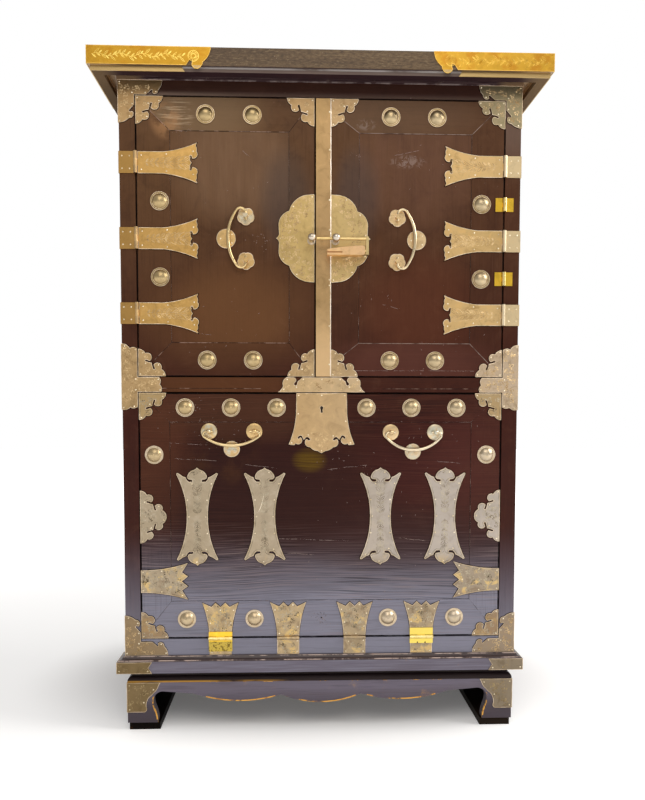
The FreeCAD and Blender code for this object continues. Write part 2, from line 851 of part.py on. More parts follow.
upper_bail_share = 0.41
upper_bail_x = opening_half * upper_bail_share
upper_bail_rise_share = 0.4978
upper_bail_spacing = 71.0
upper_bail_reach = 28.5
upper_bail_bend = 8.0
upper_strike_ahead = 32.0
upper_strike_x = upper_bail_x + upper_strike_ahead
upper_strike_radius = 15.5
lower_bail_shares = (-0.4927, 0.505)
lower_bail_drop_shares = (0.1573, 0.161)
lower_bail_spacing = 74.0
lower_bail_reaches = (23.0, 29.0)
lower_bail_bend = 5.0
lower_strike_drops = (29.0, 32.0)
lower_strike_radius = 13.2
strike_stud_radius = 2.6
strike_stud_height = 2.0
strike_stud_spacing = 10.0
strike_stud_drop = 3.0


def ringed(radius, at, way):
    return Part.Wire(Part.makeCircle(radius, at, way))


def bail(origin, along, hang, spacing, reach, bend):
    """A rod that leaves both posts outwards, turns through a tight bend and swells along one wide arc."""
    turn = spacing / 2 + bail_post_radius + stud_outside
    inner = spacing / 2 - bail_post_radius - stud_inside
    wide = (turn ** 2 + reach ** 2 - 2 * reach * bend) / (2 * (reach - 2 * bend))
    drop = reach - wide
    way = math.atan2(bend - drop, turn)
    half = (way - math.pi / 2) / 2
    pieces = []
    for side in (-1, 1):
        def spot(s, d):
            return origin + along * (side * s) + hang * d

        def on_wide(angle):
            return spot(wide * math.cos(angle), drop + wide * math.sin(angle))

        bow = spot(turn + bend * math.cos(half), bend + bend * math.sin(half))
        start = spot(inner, 0)
        meet = on_wide(way)
        lowest = on_wide(math.pi / 2)
        hook = [Part.LineSegment(start, spot(turn, 0)).toShape(),
                Part.Arc(spot(turn, 0), bow, meet).toShape()]
        pieces.append(Part.Wire(hook).makePipeShell([ringed(bail_radius, start, along)], True, False))
        sweep = Part.Wire([Part.Arc(meet, on_wide((way + math.pi / 2) / 2), lowest).toShape()])
        heading = along * (-side * math.sin(way)) + hang * math.cos(way)
        circles = [ringed(bail_radius, meet, heading), ringed(bail_middle_radius, lowest, along * -side)]
        pieces.append(sweep.makePipeShell(circles, True, False))
    return joined(pieces)


def plum_outline(x, z):
    points = []
    for index in range(plum_petals):
        angle = math.pi / 2 - 2 * math.pi * index / plum_petals
        points.append((x + plum_radius * math.cos(angle), z + plum_radius * math.sin(angle), petal_bulge))
    return points


def eyed_post(x, z, along):
    """A rosette with its post, and the eye that the bail's end turns in."""
    post = turned(bail_post_profile, x, z)
    middle = Vector(x, front - bail_stand, z)
    eye = rod(middle - along * rosette_radius * 2, middle + along * rosette_radius * 2, bail_radius + bail_play)
    return post.cut(eye)


def plum_post(x, z, along):
    flower = front_sheet(plum_outline(x, z), rosette_height)
    shank = rod(Vector(x, front, z), Vector(x, front - bail_post_length, z), bail_post_radius)
    middle = Vector(x, front - bail_stand, z)
    eye = rod(middle - along * rosette_radius * 2, middle + along * rosette_radius * 2, bail_radius + bail_play)
    return joined([flower, shank]).cut(eye)


upper_bail_z = door_low + door_opening_height * upper_bail_rise_share
right_posts = []
for side in (-1, 1):
    right_posts.append(plum_post(upper_bail_x, upper_bail_z + side * upper_bail_spacing / 2, upright))
right_strike = rod(Vector(upper_strike_x, front, upper_bail_z), Vector(upper_strike_x, front - plate, upper_bail_z),
                   upper_strike_radius)
right_mounts = right_posts + [right_strike]
keep("right_bail_mounts", right_mounts)
keep("left_bail_mounts", [other_side(mount) for mount in right_mounts])
right_bail = bail(Vector(upper_bail_x, front - bail_stand, upper_bail_z), upright, sideways,
                  upper_bail_spacing, upper_bail_reach, upper_bail_bend)
keep("right_bail", [right_bail])
keep("left_bail", [other_side(right_bail)])

drop_mounts = []
lower_bails = []
for across, fall, reach, strike_fall in zip(lower_bail_shares, lower_bail_drop_shares, lower_bail_reaches,
                                            lower_strike_drops):
    x = opening_half * across
    z = drop_high - drop_opening_height * fall
    for side in (-1, 1):
        drop_mounts.append(eyed_post(x + side * lower_bail_spacing / 2, z, sideways))
    strike = [rod(Vector(x, front, z - strike_fall), Vector(x, front - plate, z - strike_fall), lower_strike_radius)]
    for side in (-1, 1):
        stud_x = x + side * strike_stud_spacing / 2
        stud_z = z - strike_fall - strike_stud_drop
        strike.append(rod(Vector(stud_x, front, stud_z), Vector(stud_x, front - plate - strike_stud_height, stud_z),
                          strike_stud_radius))
    drop_mounts.append(joined(strike))
    lower_bails.append(bail(Vector(x, front - bail_stand, z), sideways, upright * -1, lower_bail_spacing, reach,
                            lower_bail_bend))
keep("drop_front_bail_mounts", drop_mounts)
keep("lower_left_bail", lower_bails[:1])
keep("lower_right_bail", lower_bails[1:])

# The drop front, with its lock case let into the top member

lock_case_half = 32.0
lock_case_height = 36.0
lock_case_start = 6.0
bolt_rest_gap = 0.4
keyhole_rise = 24.0
keyhole_radius = 2.6
key_slot_half = 1.5
key_slot_length = 8.0

drop_members, drop_panel = framed(-door_edge, door_edge, drop_z0, drop_z1, drop_side_member, drop_side_member,
                                  drop_bottom_member, drop_top_member)
lock_case_z = drop_z1 - lock_case_height
case_block = slab(-lock_case_half, lock_case_half, lock_case_start, door_thickness, lock_case_z, drop_z1)
keyhole_z = drop_z1 - keyhole_rise
keyhole = joined([
    rod(Vector(0, front - plate - overrun, keyhole_z), Vector(0, front + bolt_depth - overrun, keyhole_z),
        keyhole_radius),
    slab(-key_slot_half, key_slot_half, -plate - overrun, bolt_depth - overrun,
         keyhole_z - key_slot_length, keyhole_z),
])
keep("drop_front_frame", [member.cut(case_block).cut(keyhole) for member in drop_members])
keep("drop_front_panel", [drop_panel])
bolt_top = drop_z1 - bolt_rest_gap
bolt_low = bolt_top - bolt_length
keep("lock_case", [case_block.cut(bolt_space(bolt_play, bolt_low - bolt_play, drop_z1 + overrun)).cut(keyhole)])
keep("lock_bolt", [bolt_space(0, bolt_low, bolt_top)])

keyhole_shares = [
    (0, 0, 0),
    (0.74, 0, 0),
    (0.75, -0.3, -0.1),
    (0.97, -0.85, 0.1),
    (0.8, -0.86, 0),
    (0.765, -0.835, 0.55),
    (0.575, -0.8, 0.3),
    (0.615, -0.735, 0.2),
    (0.66, -0.755, -0.9),
    (0.69, -0.725, -0.3),
    (0.59, -0.705, 0),
    (0.524, -0.775, 0),
    (0.45, -0.73, -0.3),
    (0.36, -0.75, -0.9),
    (0.38, -0.785, 0.2),
    (0.45, -0.765, 0.3),
    (0.49, -0.82, 0.3),
    (0.43, -0.885, 0.1),
    (0.34, -0.9, 0.2),
    (0.12, -0.96, 0),
    (0, -1, 0),
]
keyhole_width_share = 0.1867
keyhole_plate_half = opening_half * keyhole_width_share
keyhole_plate_height = 99.0
keyhole_outline = across_middle(sized(keyhole_shares, keyhole_plate_half, keyhole_plate_height))
keep("keyhole_plate", [front_sheet(placed(keyhole_outline, 0, drop_z1)).cut(keyhole)])

hourglass_shares = [
    (0, 1, -0.15),
    (0.14, 0.955, 0.3),
    (0.455, 0.82, 0.45),
    (0.36, 0.76, 0),
    (0.25, 0.755, -0.9),
    (0.25, 0.71, 0),
    (0.38, 0.71, -0.2),
    (0.53, 0.8, 0),
    (0.66, 0.82, 0),
    (0.88, 0.885, 0.7),
    (0.965, 0.86, -0.12),
    (0.49, 0, 0),
]
hourglass_width_share = 0.1167
hourglass_height_share = 0.1988
hourglass_place_shares = (-0.6833, -0.3133, 0.3267, 0.6867)
side_plate_rise_share = 0.4988
side_cloud_reach_share = 0.1433
side_cloud_half_share = 0.1061
side_crown_rise_share = 0.2366
side_crown_length_share = 0.2567
side_crown_half_share = 0.0744

hourglass_half_width = opening_half * hourglass_width_share
hourglass_half_height = drop_opening_height * hourglass_height_share
side_plate_rise = drop_opening_height * side_plate_rise_share
side_cloud_reach = opening_half * side_cloud_reach_share
side_cloud_half = drop_opening_height * side_cloud_half_share
side_crown_rise = drop_opening_height * side_crown_rise_share
side_crown_length = opening_half * side_crown_length_share
side_crown_half = drop_opening_height * side_crown_half_share
hourglass_xs = [opening_half * share for share in hourglass_place_shares]

hourglass = across_middle(across_level(sized(hourglass_shares, hourglass_half_width, hourglass_half_height)))
hourglass_plates = [front_sheet(placed(hourglass, x, drop_low + side_plate_rise)) for x in hourglass_xs]
right_plates = []
side_cloud = placed(half_cloud(side_cloud_reach, side_cloud_half), door_edge, drop_low + side_plate_rise, -1)
right_plates.append(front_sheet(side_cloud))
crown = across_middle(sized(crown_shares, side_crown_half, side_crown_length))
lying_crown = [(door_edge - v, drop_low + side_crown_rise + u, bulge) for u, v, bulge in crown]
right_plates.append(front_sheet(lying_crown))
drop_corners = corner_mounts(-door_edge, door_edge, drop_z0, drop_z1, cloud_leg)
keep("drop_front_plates", hourglass_plates + both_sides(right_plates) + drop_corners)

drop_boss_shares = (0.2467, 0.495, 0.745)
drop_boss_drop = 25.5
side_boss_share = 0.915
side_boss_drop_share = 0.2512
low_boss_shares = (0.3717, 0.745)
low_boss_rise = 33.5
drop_boss_spots = [(opening_half * share, drop_high - drop_boss_drop) for share in drop_boss_shares]
drop_boss_spots.append((opening_half * side_boss_share, drop_high - drop_opening_height * side_boss_drop_share))
drop_boss_spots += [(opening_half * share, drop_low + low_boss_rise) for share in low_boss_shares]
keep("drop_front_bosses", both_sides([turned(boss_profile, x, z) for x, z in drop_boss_spots]))

# The mounts on the frame, bent round the corners of the case

rail_cloud_shares = [
    (0, 1, 0),
    (0.44, 1, 0),
    (0.55, 0.72, 0),
    (0.57, 0.5, -0.9),
    (0.63, 0.6, 0),
    (0.585, 0.75, 0.4),
    (0.64, 1, 0),
    (0.8, 1, 0.45),
    (0.885, 0.42, -0.15),
    (1, 0, 0),
]
rail_cloud_half = 71.5
rail_cloud = across_middle(sized(rail_cloud_shares, rail_cloud_half, middle_rail_height))
keep("rail_cloud_plate", [front_sheet(placed(rail_cloud, 0, drop_high))])

arm_length = 70.0
arm_drop = 67.0


def arm_end(width):
    return sized(arm_end_shares, width, width)


def corner_angle(z, up):
    """A right-angled mount on the frame's corner, with its wrapped leaf; up is 1 where its arm points up."""
    width = stile_width
    rail = top_rail_height
    upright_arm = [(u, arm_drop - v, bulge) for u, v, bulge in arm_end(width)]
    flat_arm = [(arm_length - v, u, -bulge) for u, v, bulge in reversed_path(arm_end(rail))]
    outline = [(0, 0, 0)] + upright_arm[:-1] + [(width, upright_arm[-1][1], 0), (width, rail, 0)] + flat_arm
    face = front_sheet(placed(outline, half_width, z, -1, up))
    side = [(0, 0, 0)] + upright_arm[:-1] + [(width, upright_arm[-1][1], 0), (width, 0, 0)]
    return joined([face, side_sheet(placed(side, 0, z, 1, up)), corner_bead(z, z + up * arm_drop)])


def corner_bead(z0, z1, reach=half_width, depth=0.0):
    """The small square that closes the bend between a mount's two leaves."""
    low, high = min(z0, z1), max(z0, z1)
    return slab(reach, reach + plate, depth - plate, depth, low, high)


def reversed_path(points):
    """The same path the other way round, with the bulges moved to their new starts."""
    count = len(points)
    turned_round = []
    for index in range(count - 1, -1, -1):
        bulge = -points[index - 1][2] if index else 0
        turned_round.append((points[index][0], points[index][1], bulge))
    return turned_round


tee_reach = 63.0
tee_up = 54.0
tee_down = 29.0
tee_shares = [
    (0, 1, 0.3),
    (0.52, 0.86, 0.35),
    (0.92, 0.87, 0.3),
    (1, 0.83, 0),
]


def tee_mount():
    """The mount where the middle rail meets the stile: an arm on the rail and a leaf up and down the stile."""
    width = stile_width
    above = [(u * width, middle_rail_height + v * tee_up, bulge) for u, v, bulge in tee_shares]
    below = [(u * width, -v * tee_down, bulge) for u, v, bulge in reversed_path(tee_shares)]
    below = [(u, v, -bulge) for u, v, bulge in below]
    step = middle_rail_height / 2
    arm = [(width, middle_rail_height, 0), (tee_reach - plate * 3, middle_rail_height, 0.4),
           (tee_reach - plate * 2, step, 0.4), (tee_reach, 0, 0), (width, 0, 0)]
    outline = above + arm + below
    face = front_sheet(placed(outline, half_width, drop_high, -1))
    side = above[:-1] + [(width, above[-1][1], 0), (width, below[0][1], 0)] + below[1:]
    return joined([face, side_sheet(placed(side, 0, drop_high)),
                   corner_bead(drop_high - tee_down, drop_high + middle_rail_height + tee_up)])


frame_mounts = [corner_angle(case_bottom, 1), corner_angle(case_top, -1), tee_mount()]
keep("frame_corner_plates", both_sides(frame_mounts))

base_plate_length = 57.0
base_plate_notch = 6.0
base_half = half_width + band_reach
base_z1 = band_bottom + band_face


def notched(length, start):
    """A strap along the moulding with a notched end, from its corner inwards."""
    middle = (band_bottom + base_z1) / 2
    return [(start, band_bottom, 0), (start, base_z1, 0), (length, base_z1, 0),
            (length - base_plate_notch, middle, 0), (length, band_bottom, 0)]


base_face = placed(notched(base_plate_length, -plate), base_half, 0, -1)
base_side = placed(notched(base_plate_length - band_reach, -band_reach), 0, 0)
base_mount = joined([front_sheet(base_face, plate, -band_reach), side_sheet(base_side, base_half)])
keep("base_corner_plates", both_sides([base_mount]))

foot_plate_shares = [
    (0, 0, 0),
    (0, 1, 0),
    (1, 1, -0.1),
    (0.93, 0.86, 0.15),
    (0.8, 0.66, 0),
    (0.72, 0.56, -0.2),
    (0.6, 0.4, -0.2),
    (0.58, 0.12, 0.5),
    (0.48, 0, 0),
]
foot_plate_width = 55.0
foot_plate_height = 50.0


def foot_mount():
    outline = sized(foot_plate_shares, foot_plate_width, foot_plate_height)
    low = stand_top - foot_plate_height
    depth = stand_inset
    face = front_sheet(placed(outline, stand_half, low, -1), plate, depth)
    side = side_sheet(placed(outline, depth, low), stand_half)
    return joined([face, side, corner_bead(low, stand_top, stand_half, depth)])


keep("foot_plates", both_sides([foot_mount()]))

top_plate_length = 190.0
top_plate_shares = [
    (0, 0, 0),
    (0, 1, 0),
    (1, 1, 0.15),
    (0.975, 0.45, 0.1),
    (0.935, 0.18, 0.2),
    (0.925, -0.02, 0.75),
    (0.845, 0.05, 0),
    (0.852, 0.2, -0.9),
    (0.828, 0.27, 0),
    (0.8, 0, 0),
]
lip_plate_share = 0.76
top_side_length = 120.0


def top_mount():
    """The gilded corner of the top board: its face, its end, and the strips over the stepped lip."""
    outline = sized(top_plate_shares, top_plate_length, top_thickness)
    face = front_sheet(placed(outline, top_half, board_low, -1), plate, -top_overhang)
    side = [(-top_overhang, board_low, 0), (-top_overhang, chest_top, 0),
            (top_side_length, chest_top, 0), (top_side_length, board_low, 0)]
    lip_length = top_plate_length * lip_plate_share
    lip_low = board_low - lip_height
    step = lip_inset
    under = [(step - plate, lip_low, 0), (step - plate, board_low, 0), (lip_length, board_low, 0),
             (lip_length + step, lip_low, 0)]
    lip_face = front_sheet(placed(under, top_half, 0, -1), plate, -top_overhang + lip_inset)
    lip_side = side_sheet([(-top_overhang + step, lip_low, 0), (-top_overhang + step, board_low, 0),
                           (top_side_length, board_low, 0), (top_side_length, lip_low, 0)], top_half - step)
    bead = corner_bead(board_low, chest_top, top_half, -top_overhang)
    return [joined([face, side_sheet(side, top_half), bead]), joined([lip_face, lip_side])]


keep("top_corner_plates", both_sides(top_mount()))

os.makedirs("parts", exist_ok=True)
total = 0
for name, solids in parts.items():
    for solid in solids:
        if not solid.isValid() or solid.Volume <= 0:
            print("unsound:", name, round(solid.Volume, 3))
    shape = solids[0] if len(solids) == 1 else Part.Compound(solids)
    shape.exportStep("parts/" + name + ".step")
    total += len(solids)
print(len(parts), "nodes,", total, "solids")
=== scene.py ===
"""A two-tier chest: dark lacquered wood, chased brass mounts and straps, on a low stand with cloud feet."""

import json
import math
import random

import bpy
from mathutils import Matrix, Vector


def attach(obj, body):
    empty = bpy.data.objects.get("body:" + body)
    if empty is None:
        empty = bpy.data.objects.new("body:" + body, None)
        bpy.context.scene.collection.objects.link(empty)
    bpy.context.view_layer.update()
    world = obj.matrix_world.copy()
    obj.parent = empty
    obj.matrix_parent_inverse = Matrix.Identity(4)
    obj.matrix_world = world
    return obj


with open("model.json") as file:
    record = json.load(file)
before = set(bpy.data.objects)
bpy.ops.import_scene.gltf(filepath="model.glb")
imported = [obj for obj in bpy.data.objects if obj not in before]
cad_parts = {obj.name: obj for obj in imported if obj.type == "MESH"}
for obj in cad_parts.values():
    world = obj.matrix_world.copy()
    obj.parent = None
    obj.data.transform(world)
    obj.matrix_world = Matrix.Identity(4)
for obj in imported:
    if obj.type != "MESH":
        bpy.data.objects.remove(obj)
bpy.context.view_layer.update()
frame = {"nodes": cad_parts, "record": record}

chest = frame["nodes"]

# The view: a normal lens a little over a metre in front of the doors, at about half the chest's
# height and turned slightly to the right, tipped down so that the feet are seen.

eye_lens = bpy.data.cameras.new("eye")
eye_lens.lens = 34.632
eye_lens.sensor_width = 36
eye_lens.shift_y = 0.0676
eye = bpy.data.objects.new("eye", eye_lens)
eye.location = (-0.0464, -1.4394, 0.5353)
eye.rotation_euler = [math.radians(turn) for turn in (90 - 3.28, -0.07, -2.16)]
bpy.context.scene.collection.objects.link(eye)
bpy.context.scene.camera = eye

# The stand: four boards of lacquered softwood with scalloped lower edges, mitred round two plank
# runners that lie on the floor. The lacquer is thin and has worn to orange wood along every edge.

mm = 0.001


def working(operation, turned=False):
    """A method that adds the node for one sum; turned, where a plain number stands first."""
    def method(self, *others):
        values = (*others, self) if turned else (self, *others)
        return self.nodes.node("ShaderNodeMath", {"operation": operation}, values)
    return method


class Tone:
    """A value or colour that changes over a surface. Sums on it add the nodes that work it out."""

    def __init__(self, nodes, out):
        self.nodes = nodes
        self.out = out

    __add__ = __radd__ = working("ADD")
    __mul__ = __rmul__ = working("MULTIPLY")
    __sub__ = working("SUBTRACT")
    __rsub__ = working("SUBTRACT", True)
    __truediv__ = working("DIVIDE")
    __gt__ = working("GREATER_THAN")
    __lt__ = working("LESS_THAN")
    least = working("MINIMUM")
    most = working("MAXIMUM")
    size = working("ABSOLUTE")

    def share(self, low, high):
        """0 at low, 1 at high, eased and held at both ends."""
        settings = {"interpolation_type": "SMOOTHSTEP", "clamp": True}
        return self.nodes.node("ShaderNodeMapRange", settings, [self, low, high, 0.0, 1.0])


class Nodes:
    """The nodes of one material or of the studio's backdrop."""

    def __init__(self, tree):
        self.tree = tree

    def node(self, kind, settings=None, sockets=(), out=0):
        made = self.tree.nodes.new(kind)
        for key, value in (settings or {}).items():
            setattr(made, key, value)
        for key, value in sockets.items() if isinstance(sockets, dict) else enumerate(sockets):
            self.join(made.inputs[key], value)
        return Tone(self, made.outputs[out]) if len(made.outputs) else None

    def join(self, socket, value):
        if isinstance(value, Tone):
            self.tree.links.new(value.out, socket)
        elif socket.type == "RGBA":
            socket.default_value = (*value, 1)
        else:
            socket.default_value = value

    def ray(self, kind):
        return self.node("ShaderNodeLightPath", out="Is " + kind + " Ray")


class Finish(Nodes):
    """One material, put together from the piece's colours and, on many pieces, painted light and shade.
    along is the way its grain runs.
    """

    def __init__(self, name, along=None):
        self.material = bpy.data.materials.new(name)
        self.material.use_nodes = True
        super().__init__(self.material.node_tree)
        self.place = self.node("ShaderNodeTexCoord", out="Object")
        parts = [self.node("ShaderNodeSeparateXYZ", {}, [self.place], out) for out in range(3)]
        self.x, self.y, self.z = parts
        if along:
            self.streaks, self.bands = self.grain(along)

    def blend(self, share, first, second):
        settings = {"data_type": "RGBA", "clamp_factor": True}
        return self.node("ShaderNodeMix", settings, {"Factor": share, 6: first, 7: second}, 2)

    def paint(self, tone, *coats):
        """A tone with more colours laid over it, each as far as its share says."""
        for share, colour in coats:
            tone = self.blend(share, tone, colour)
        return tone

    def stretched(self, across, depth, up):
        """The place on the piece, stretched so that a texture runs along it."""
        settings = {"operation": "MULTIPLY"}
        return self.node("ShaderNodeVectorMath", settings, [self.place, (across, depth, up)])

    def mottle(self, scale, detail=3.0, rough=0.55, at=None, twist=0.0):
        sockets = {"Vector": at or self.place, "Scale": scale, "Detail": detail, "Roughness": rough,
                   "Distortion": twist}
        return self.node("ShaderNodeTexNoise", {}, sockets)

    def grain(self, along):
        """Fine streaks and slow bands that run along x, y or z."""
        def lines(run, cross, rough):
            stretch = [run if axis == along else cross for axis in "xyz"]
            return self.mottle(1.0, 3.0, rough, self.stretched(*stretch))
        return lines(14.0, 480.0, 0.6), lines(3.0, 55.0, 0.5)

    def specks(self, scale, reach):
        """1 inside small scattered dots, 0 elsewhere."""
        sockets = {"Vector": self.place, "Scale": scale, "Randomness": 1.0}
        return self.node("ShaderNodeTexVoronoi", {}, sockets).share(reach, reach * 0.5)

    def patch(self, x, z, wide, high):
        """1 at a place on the front, easing to 0 at the given reaches across and up."""
        front = -0.169
        across = (self.x - x) / wide
        up = (self.z - z) / high
        return (across * across + up * up).share(1.0, 0.0) * (self.y < front)

    def relief(self, height, distance, strength=0.5):
        sockets = {"Strength": strength, "Distance": distance, "Height": height}
        return self.node("ShaderNodeBump", {}, sockets)

    def lay(self, **sockets):
        shader = self.tree.nodes["Principled BSDF"]
        for key, value in sockets.items():
            self.join(shader.inputs[key.replace("_", " ").title().replace("Ior", "IOR")], value)
        return self.material


def dress(finish, *names):
    """Lays a finish on whole nodes of the chest."""
    for name in names:
        for held in chest[name].material_slots:
            held.material = finish


def front_of(node):
    return max(-vertex.co.y for vertex in chest[node].data.vertices)


bare_orange = (0.95, 0.48, 0.07)
stand_face = front_of("stand_front")


def stand_lacquer(name, along, *nodes):
    """The stand's red-brown lacquer, painted purple-grey from a few centimetres above the floor upwards as a
    reflection of the white floor, and rubbed through in places.
    """
    wood = Finish(name, along)
    cloud = wood.mottle(8.0, 4.0)
    rub = wood.mottle(28.0, 4.0, 0.65).share(0.6, 0.75) * cloud.share(0.45, 0.7)
    arris = (wood.y > 0.12 * mm - stand_face) * (wood.y < 2.5 * mm - stand_face)
    arris = arris * wood.z.share(0.0585, 0.0565)
    bared = wood.mottle(34.0, 4.0, 0.6).share(0.42, 0.5).most(wood.z.share(0.033, 0.027))
    # The purple-grey coat from z 0.03 up is a painted reflection of the white floor.
    tone = wood.paint(
        (0.052, 0.036, 0.05), (wood.z.share(0.03, 0.075), (0.17, 0.145, 0.195)),
        (wood.streaks.share(0.5, 0.72) * 0.35, (0.03, 0.016, 0.02)),
        (wood.bands.share(0.5, 0.75) * 0.3, (0.09, 0.06, 0.06)),
        (rub * 0.35, bare_orange), (arris * bared * 0.85, bare_orange))
    dress(wood.lay(base_color=tone, roughness=0.36 + 0.25 * cloud, specular_ior_level=0.25,
                   normal=wood.relief(wood.streaks * 0.3 + wood.bands * 0.4, 0.0006),
                   coat_weight=0.25 + 0.2 * cloud, coat_roughness=0.25), *nodes)


stand_lacquer("stand_lacquer", "x", "stand_front", "stand_back")
stand_lacquer("stand_side_lacquer", "y", "stand_sides")

wood = Finish("stand_neck_lacquer", "x")
rub = wood.mottle(1.0, 3.0, 0.6, wood.stretched(14.0, 14.0, 60.0)).share(0.42, 0.6)
# Painted shade: the neck is painted near black for the shade in its hollow under the band; the orange low on
# it is worn wood.
tone = wood.paint((0.01, 0.005, 0.005), (wood.streaks, (0.035, 0.02, 0.02)),
                  (wood.z.share(0.0845, 0.082) * rub * wood.x.share(0.05, -0.25) * 0.6, bare_orange))
dress(wood.lay(base_color=tone, roughness=0.4 + 0.2 * wood.bands, specular_ior_level=0.2,
               normal=wood.relief(wood.streaks, 0.0004)), "stand_neck")

wood = Finish("runner_wood", "y")
tone = wood.paint(
    (0.002, 0.001, 0.0007), (wood.streaks.share(0.35, 0.7), (0.007, 0.0035, 0.002)),
    (wood.x.share(0.0, 0.25) * 0.8, (0.022, 0.014, 0.009)),
    (wood.mottle(40.0, 4.0, 0.7).share(0.62, 0.75) * 0.35, (0.2, 0.08, 0.02)))
dress(wood.lay(base_color=tone, specular_ior_level=0.06, roughness=0.5 + 0.2 * wood.bands,
               normal=wood.relief(wood.streaks, 0.0005, 0.6)), "stand_runners")


def mesh_piece(name, points, faces, finish, body, smooth=False):
    """A piece made of the given points and faces, that rides on a body of the chest."""
    shape = bpy.data.meshes.new(name)
    shape.from_pydata([tuple(point) for point in points], [], faces)
    shape.update()
    for face in shape.polygons:
        face.use_smooth = smooth
    shape.materials.append(finish)
    piece = bpy.data.objects.new(name, shape)
    bpy.context.scene.collection.objects.link(piece)
    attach(piece, body)


front_way = Vector((0, -1, 0))


def outlines(node, level=None):
    """The closed outlines of a node's flat front faces at one level, as lists of points."""
    shape = chest[node].data
    depth = front_of(node) if level is None else level
    flatness = 0.05 * mm
    edges = set()
    for face in shape.polygons:
        if face.normal.dot(front_way) < 0.999:
            continue
        corners = [shape.vertices[index].co for index in face.vertices]
        if any(abs(corner.dot(front_way) - depth) > flatness for corner in corners):
            continue
        keys = [tuple(round(value, 6) for value in corner) for corner in corners]
        edges.update(zip(keys, keys[1:] + keys[:1]))
    after = {}
    for first, second in sorted(edges):
        if (second, first) not in edges:
            after.setdefault(first, []).append(second)
    loops = []
    while after:
        start = next(iter(after))
        loop = [start]
        while True:
            ends = after.get(loop[-1])
            if not ends:
                break
            step = ends.pop()
            if not ends:
                del after[loop[-1]]
            if step == start:
                break
            loop.append(step)
        if len(loop) > 2:
            loops.append([Vector(point) for point in loop])
    return loops


def inset(loop, reach):
    """The outline moved inwards by reach, without its shortest steps turning over."""
    sharpest = 0.55
    moved = []
    for index, point in enumerate(loop):
        before = (point - loop[index - 1]).normalized()
        ahead = (loop[(index + 1) % len(loop)] - point).normalized()
        inward = front_way.cross(before)
        middle = inward + front_way.cross(ahead)
        if middle.length < 0.2:
            middle = inward.copy()
        middle.normalize()
        moved.append(point + middle * (reach / max(sharpest, middle.dot(inward))))
    return moved


def edge_band(name, loops, outwards, inwards, lift, finish, body, keep=None):
    """A narrow band along outlines that rises to a crest, like an edge rubbed round."""
    clear = 0.02 * mm
    crest = inwards * 0.4 - outwards * 0.6
    points = []
    faces = []
    for loop in loops:
        first = len(points)
        count = len(loop)
        for reach, height in ((-outwards, clear), (crest, clear + lift), (inwards, clear)):
            points += [point + front_way * height for point in inset(loop, reach)]
        for index in range(count):
            following = (index + 1) % count
            if keep and not (keep(loop[index]) and keep(loop[following])):
                continue
            for row in (first, first + count):
                faces.append((row + index, row + following, row + count + following, row + count + index))
    used = sorted({corner for face in faces for corner in face})
    renumbered = {corner: index for index, corner in enumerate(used)}
    mesh_piece(name, [points[corner] for corner in used],
               [tuple(renumbered[corner] for corner in face) for face in faces], finish, body)


def worn_edge(name, finish_name, width, low, high, keep):
    """Bare wood along the stand's edge; the rub is heavier where low and high let more of it through."""
    wood = Finish(finish_name)
    cloud = wood.mottle(130.0, 3.0, 0.6)
    tone = wood.blend(cloud.share(0.3, 0.5), (0.45, 0.17, 0.025), bare_orange)
    edge = wood.lay(base_color=tone, roughness=0.6 + 0.2 * cloud, normal=wood.relief(cloud, 0.0003, 0.4),
                    alpha=wood.mottle(34.0, 4.0, 0.6).share(low, high).most(wood.z.share(0.033, 0.027)))
    edge_band(name, outlines("stand_front"), 0.0, width, 0.04 * mm, edge, "case", keep)


worn_edge("apron_worn_edge", "apron_edge_wood", 1.9 * mm, 0.42, 0.5, lambda point: 0.0135 < point.z < 0.057)
worn_edge("stand_top_worn_edge", "stand_edge_wood", 0.8 * mm, 0.54, 0.64, lambda point: point.z > 0.0795)

# The base moulding: a flat band with a bead over it and a hollowed neck below, dark purple-brown
# lacquer, mitred at the corners, painted grey-violet on the band as a reflection of the white floor. Its
# bead is rubbed pale where it catches hands and brooms.

wood = Finish("moulding_lacquer", "x")
bead_rub = wood.mottle(1.0, 4.0, 0.7, wood.stretched(34.0, 34.0, 60.0)).share(0.42, 0.56)
bead_arris = wood.z.share(0.1203, 0.1209) * wood.z.share(0.1221, 0.1214)
bead_crown = wood.z.share(0.1256, 0.1262) * wood.z.share(0.1272, 0.1267)
bead_tone = wood.paint((0.02, 0.01, 0.01), (wood.streaks, (0.07, 0.045, 0.045)),
                       (bead_arris.most(bead_crown) * bead_rub * 0.85, (0.62, 0.47, 0.4)))
# Painted reflection: the band's grey-violet stands for the white floor seen in the lacquer.
tone = wood.paint(
    (0.142, 0.122, 0.165), (wood.streaks.share(0.3, 0.75), (0.205, 0.192, 0.25)),
    (wood.bands.share(0.5, 0.8) * 0.35, (0.08, 0.05, 0.055)),
    (wood.z.share(0.1192, 0.1202), bead_tone),
    (wood.mottle(45.0, 4.0, 0.6).share(0.64, 0.72) * 0.4, (0.3, 0.18, 0.13)))
dress(wood.lay(base_color=tone, roughness=0.3 + 0.25 * wood.bands, specular_ior_level=0.25, coat_weight=0.35,
               coat_roughness=0.25, normal=wood.relief(wood.streaks, 0.0004)), "base_moulding")

# The case: side boards behind two front stiles and three rails between them. All of it is
# reddish-brown lacquer over straight grain, with a painted olive sheen high up and a painted grey reflection
# of the white floor low down.

lacquer_black = (0.012, 0.0035, 0.0025)


